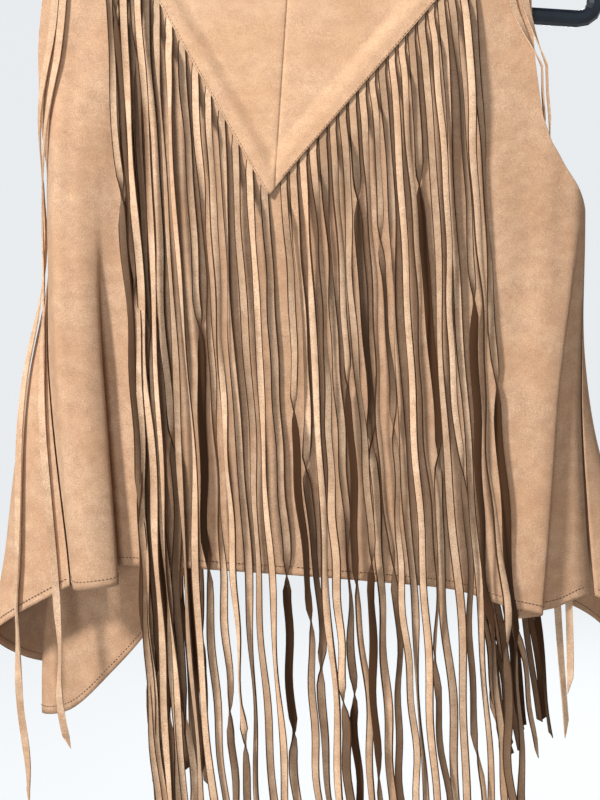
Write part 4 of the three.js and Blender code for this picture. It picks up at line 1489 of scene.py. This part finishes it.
@dataclass
class Studio:
    """Pale bowl, soft lights and the camera."""

    floor_z: float = -1.25
    radius: float = 5.0
    bend: float = 1.5
    wall: float = 5.0
    paper: Colour = (0.12, 0.12, 0.12)
    glow: Colour = (0.93, 0.97, 1.0)
    glow_strength: float = 0.8
    air: Colour = (1.0, 0.94, 0.88)
    air_strength: float = 0.24
    aim: tuple[float, float, float] = (-0.03, 0, -0.4)
    camera_at: tuple[float, float, float] = (-0.0309, -0.793, -0.474)
    roll: float = math.radians(3.3)
    lens: float = 50.0

    def bowl(self) -> None:
        """Floor that curves up into a wall all round: a profile turned about the upright axis."""
        bend = np.linspace(0, math.pi / 2, 16)
        r = np.concatenate([[0.001, 1, 2, 3], self.radius - self.bend * (1 - np.sin(bend)),
                            [self.radius]])
        z = np.concatenate([np.zeros(4), self.bend * (1 - np.cos(bend)), [self.wall]]) + self.floor_z
        turn = np.linspace(0, 2 * math.pi, 97)
        points = np.stack([r[:, None] * np.cos(turn), r[:, None] * np.sin(turn),
                           np.broadcast_to(z[:, None], (len(r), len(turn)))], axis=-1)
        obj = grid_mesh("studio_bowl", points, points[..., :2])
        made, sh = blank_material("studio_paper")
        sh.surface({"Base Color": (*self.paper, 1), "Roughness": 0.9,
                    "Emission Color": (*self.glow, 1), "Emission Strength": self.glow_strength})
        obj.data.materials.append(made)
        obj.visible_diffuse = False

    def camera(self) -> None:
        """Camera that looks along +y with a small roll."""
        data = bpy.data.cameras.new("camera")
        data.lens, data.sensor_width, data.clip_start = self.lens, 36.0, 0.01
        obj = bpy.data.objects.new("camera", data)
        right = Vector((math.cos(self.roll), 0, -math.sin(self.roll)))
        up = Vector((math.sin(self.roll), 0, math.cos(self.roll)))
        turn = Matrix((right, up, Vector((0, -1, 0)))).transposed()
        obj.matrix_world = Matrix.Translation(self.camera_at) @ turn.to_4x4()
        bpy.context.collection.objects.link(obj)
        bpy.context.scene.camera = obj

    def build(self) -> None:
        """Sets up the stage."""
        self.camera()
        self.bowl()
        for lamp in LAMPS:
            lamp.build(Vector(self.aim))
        bpy.context.scene.view_settings.view_transform = "Standard"
        world = bpy.data.worlds.new("studio_air")
        bpy.context.scene.world = world
        world.use_nodes = True
        air = world.node_tree.nodes["Background"].inputs
        air["Color"].default_value = (*self.air, 1)
        air["Strength"].default_value = self.air_strength


def corners(bounds: tuple[Vector, Vector]) -> list[list[float]]:
    """Lowest and highest corner as plain lists."""
    return [list(bounds[0]), list(bounds[1])]


def main() -> None:
    """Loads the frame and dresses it."""
    logging.basicConfig(level=logging.INFO, format="%(name)s %(message)s")
    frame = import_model()
    Studio().build()
    finishes = Finishes()
    hanger = frame["nodes"]["hanger"]
    hanger.data.materials.clear()
    hanger.data.materials.append(finishes.plastic)
    LOG.info("%s dressed", hanger.name)
    Vest(finishes).build()
    bpy.context.view_layer.update()


if __name__ == "__main__":
    main()
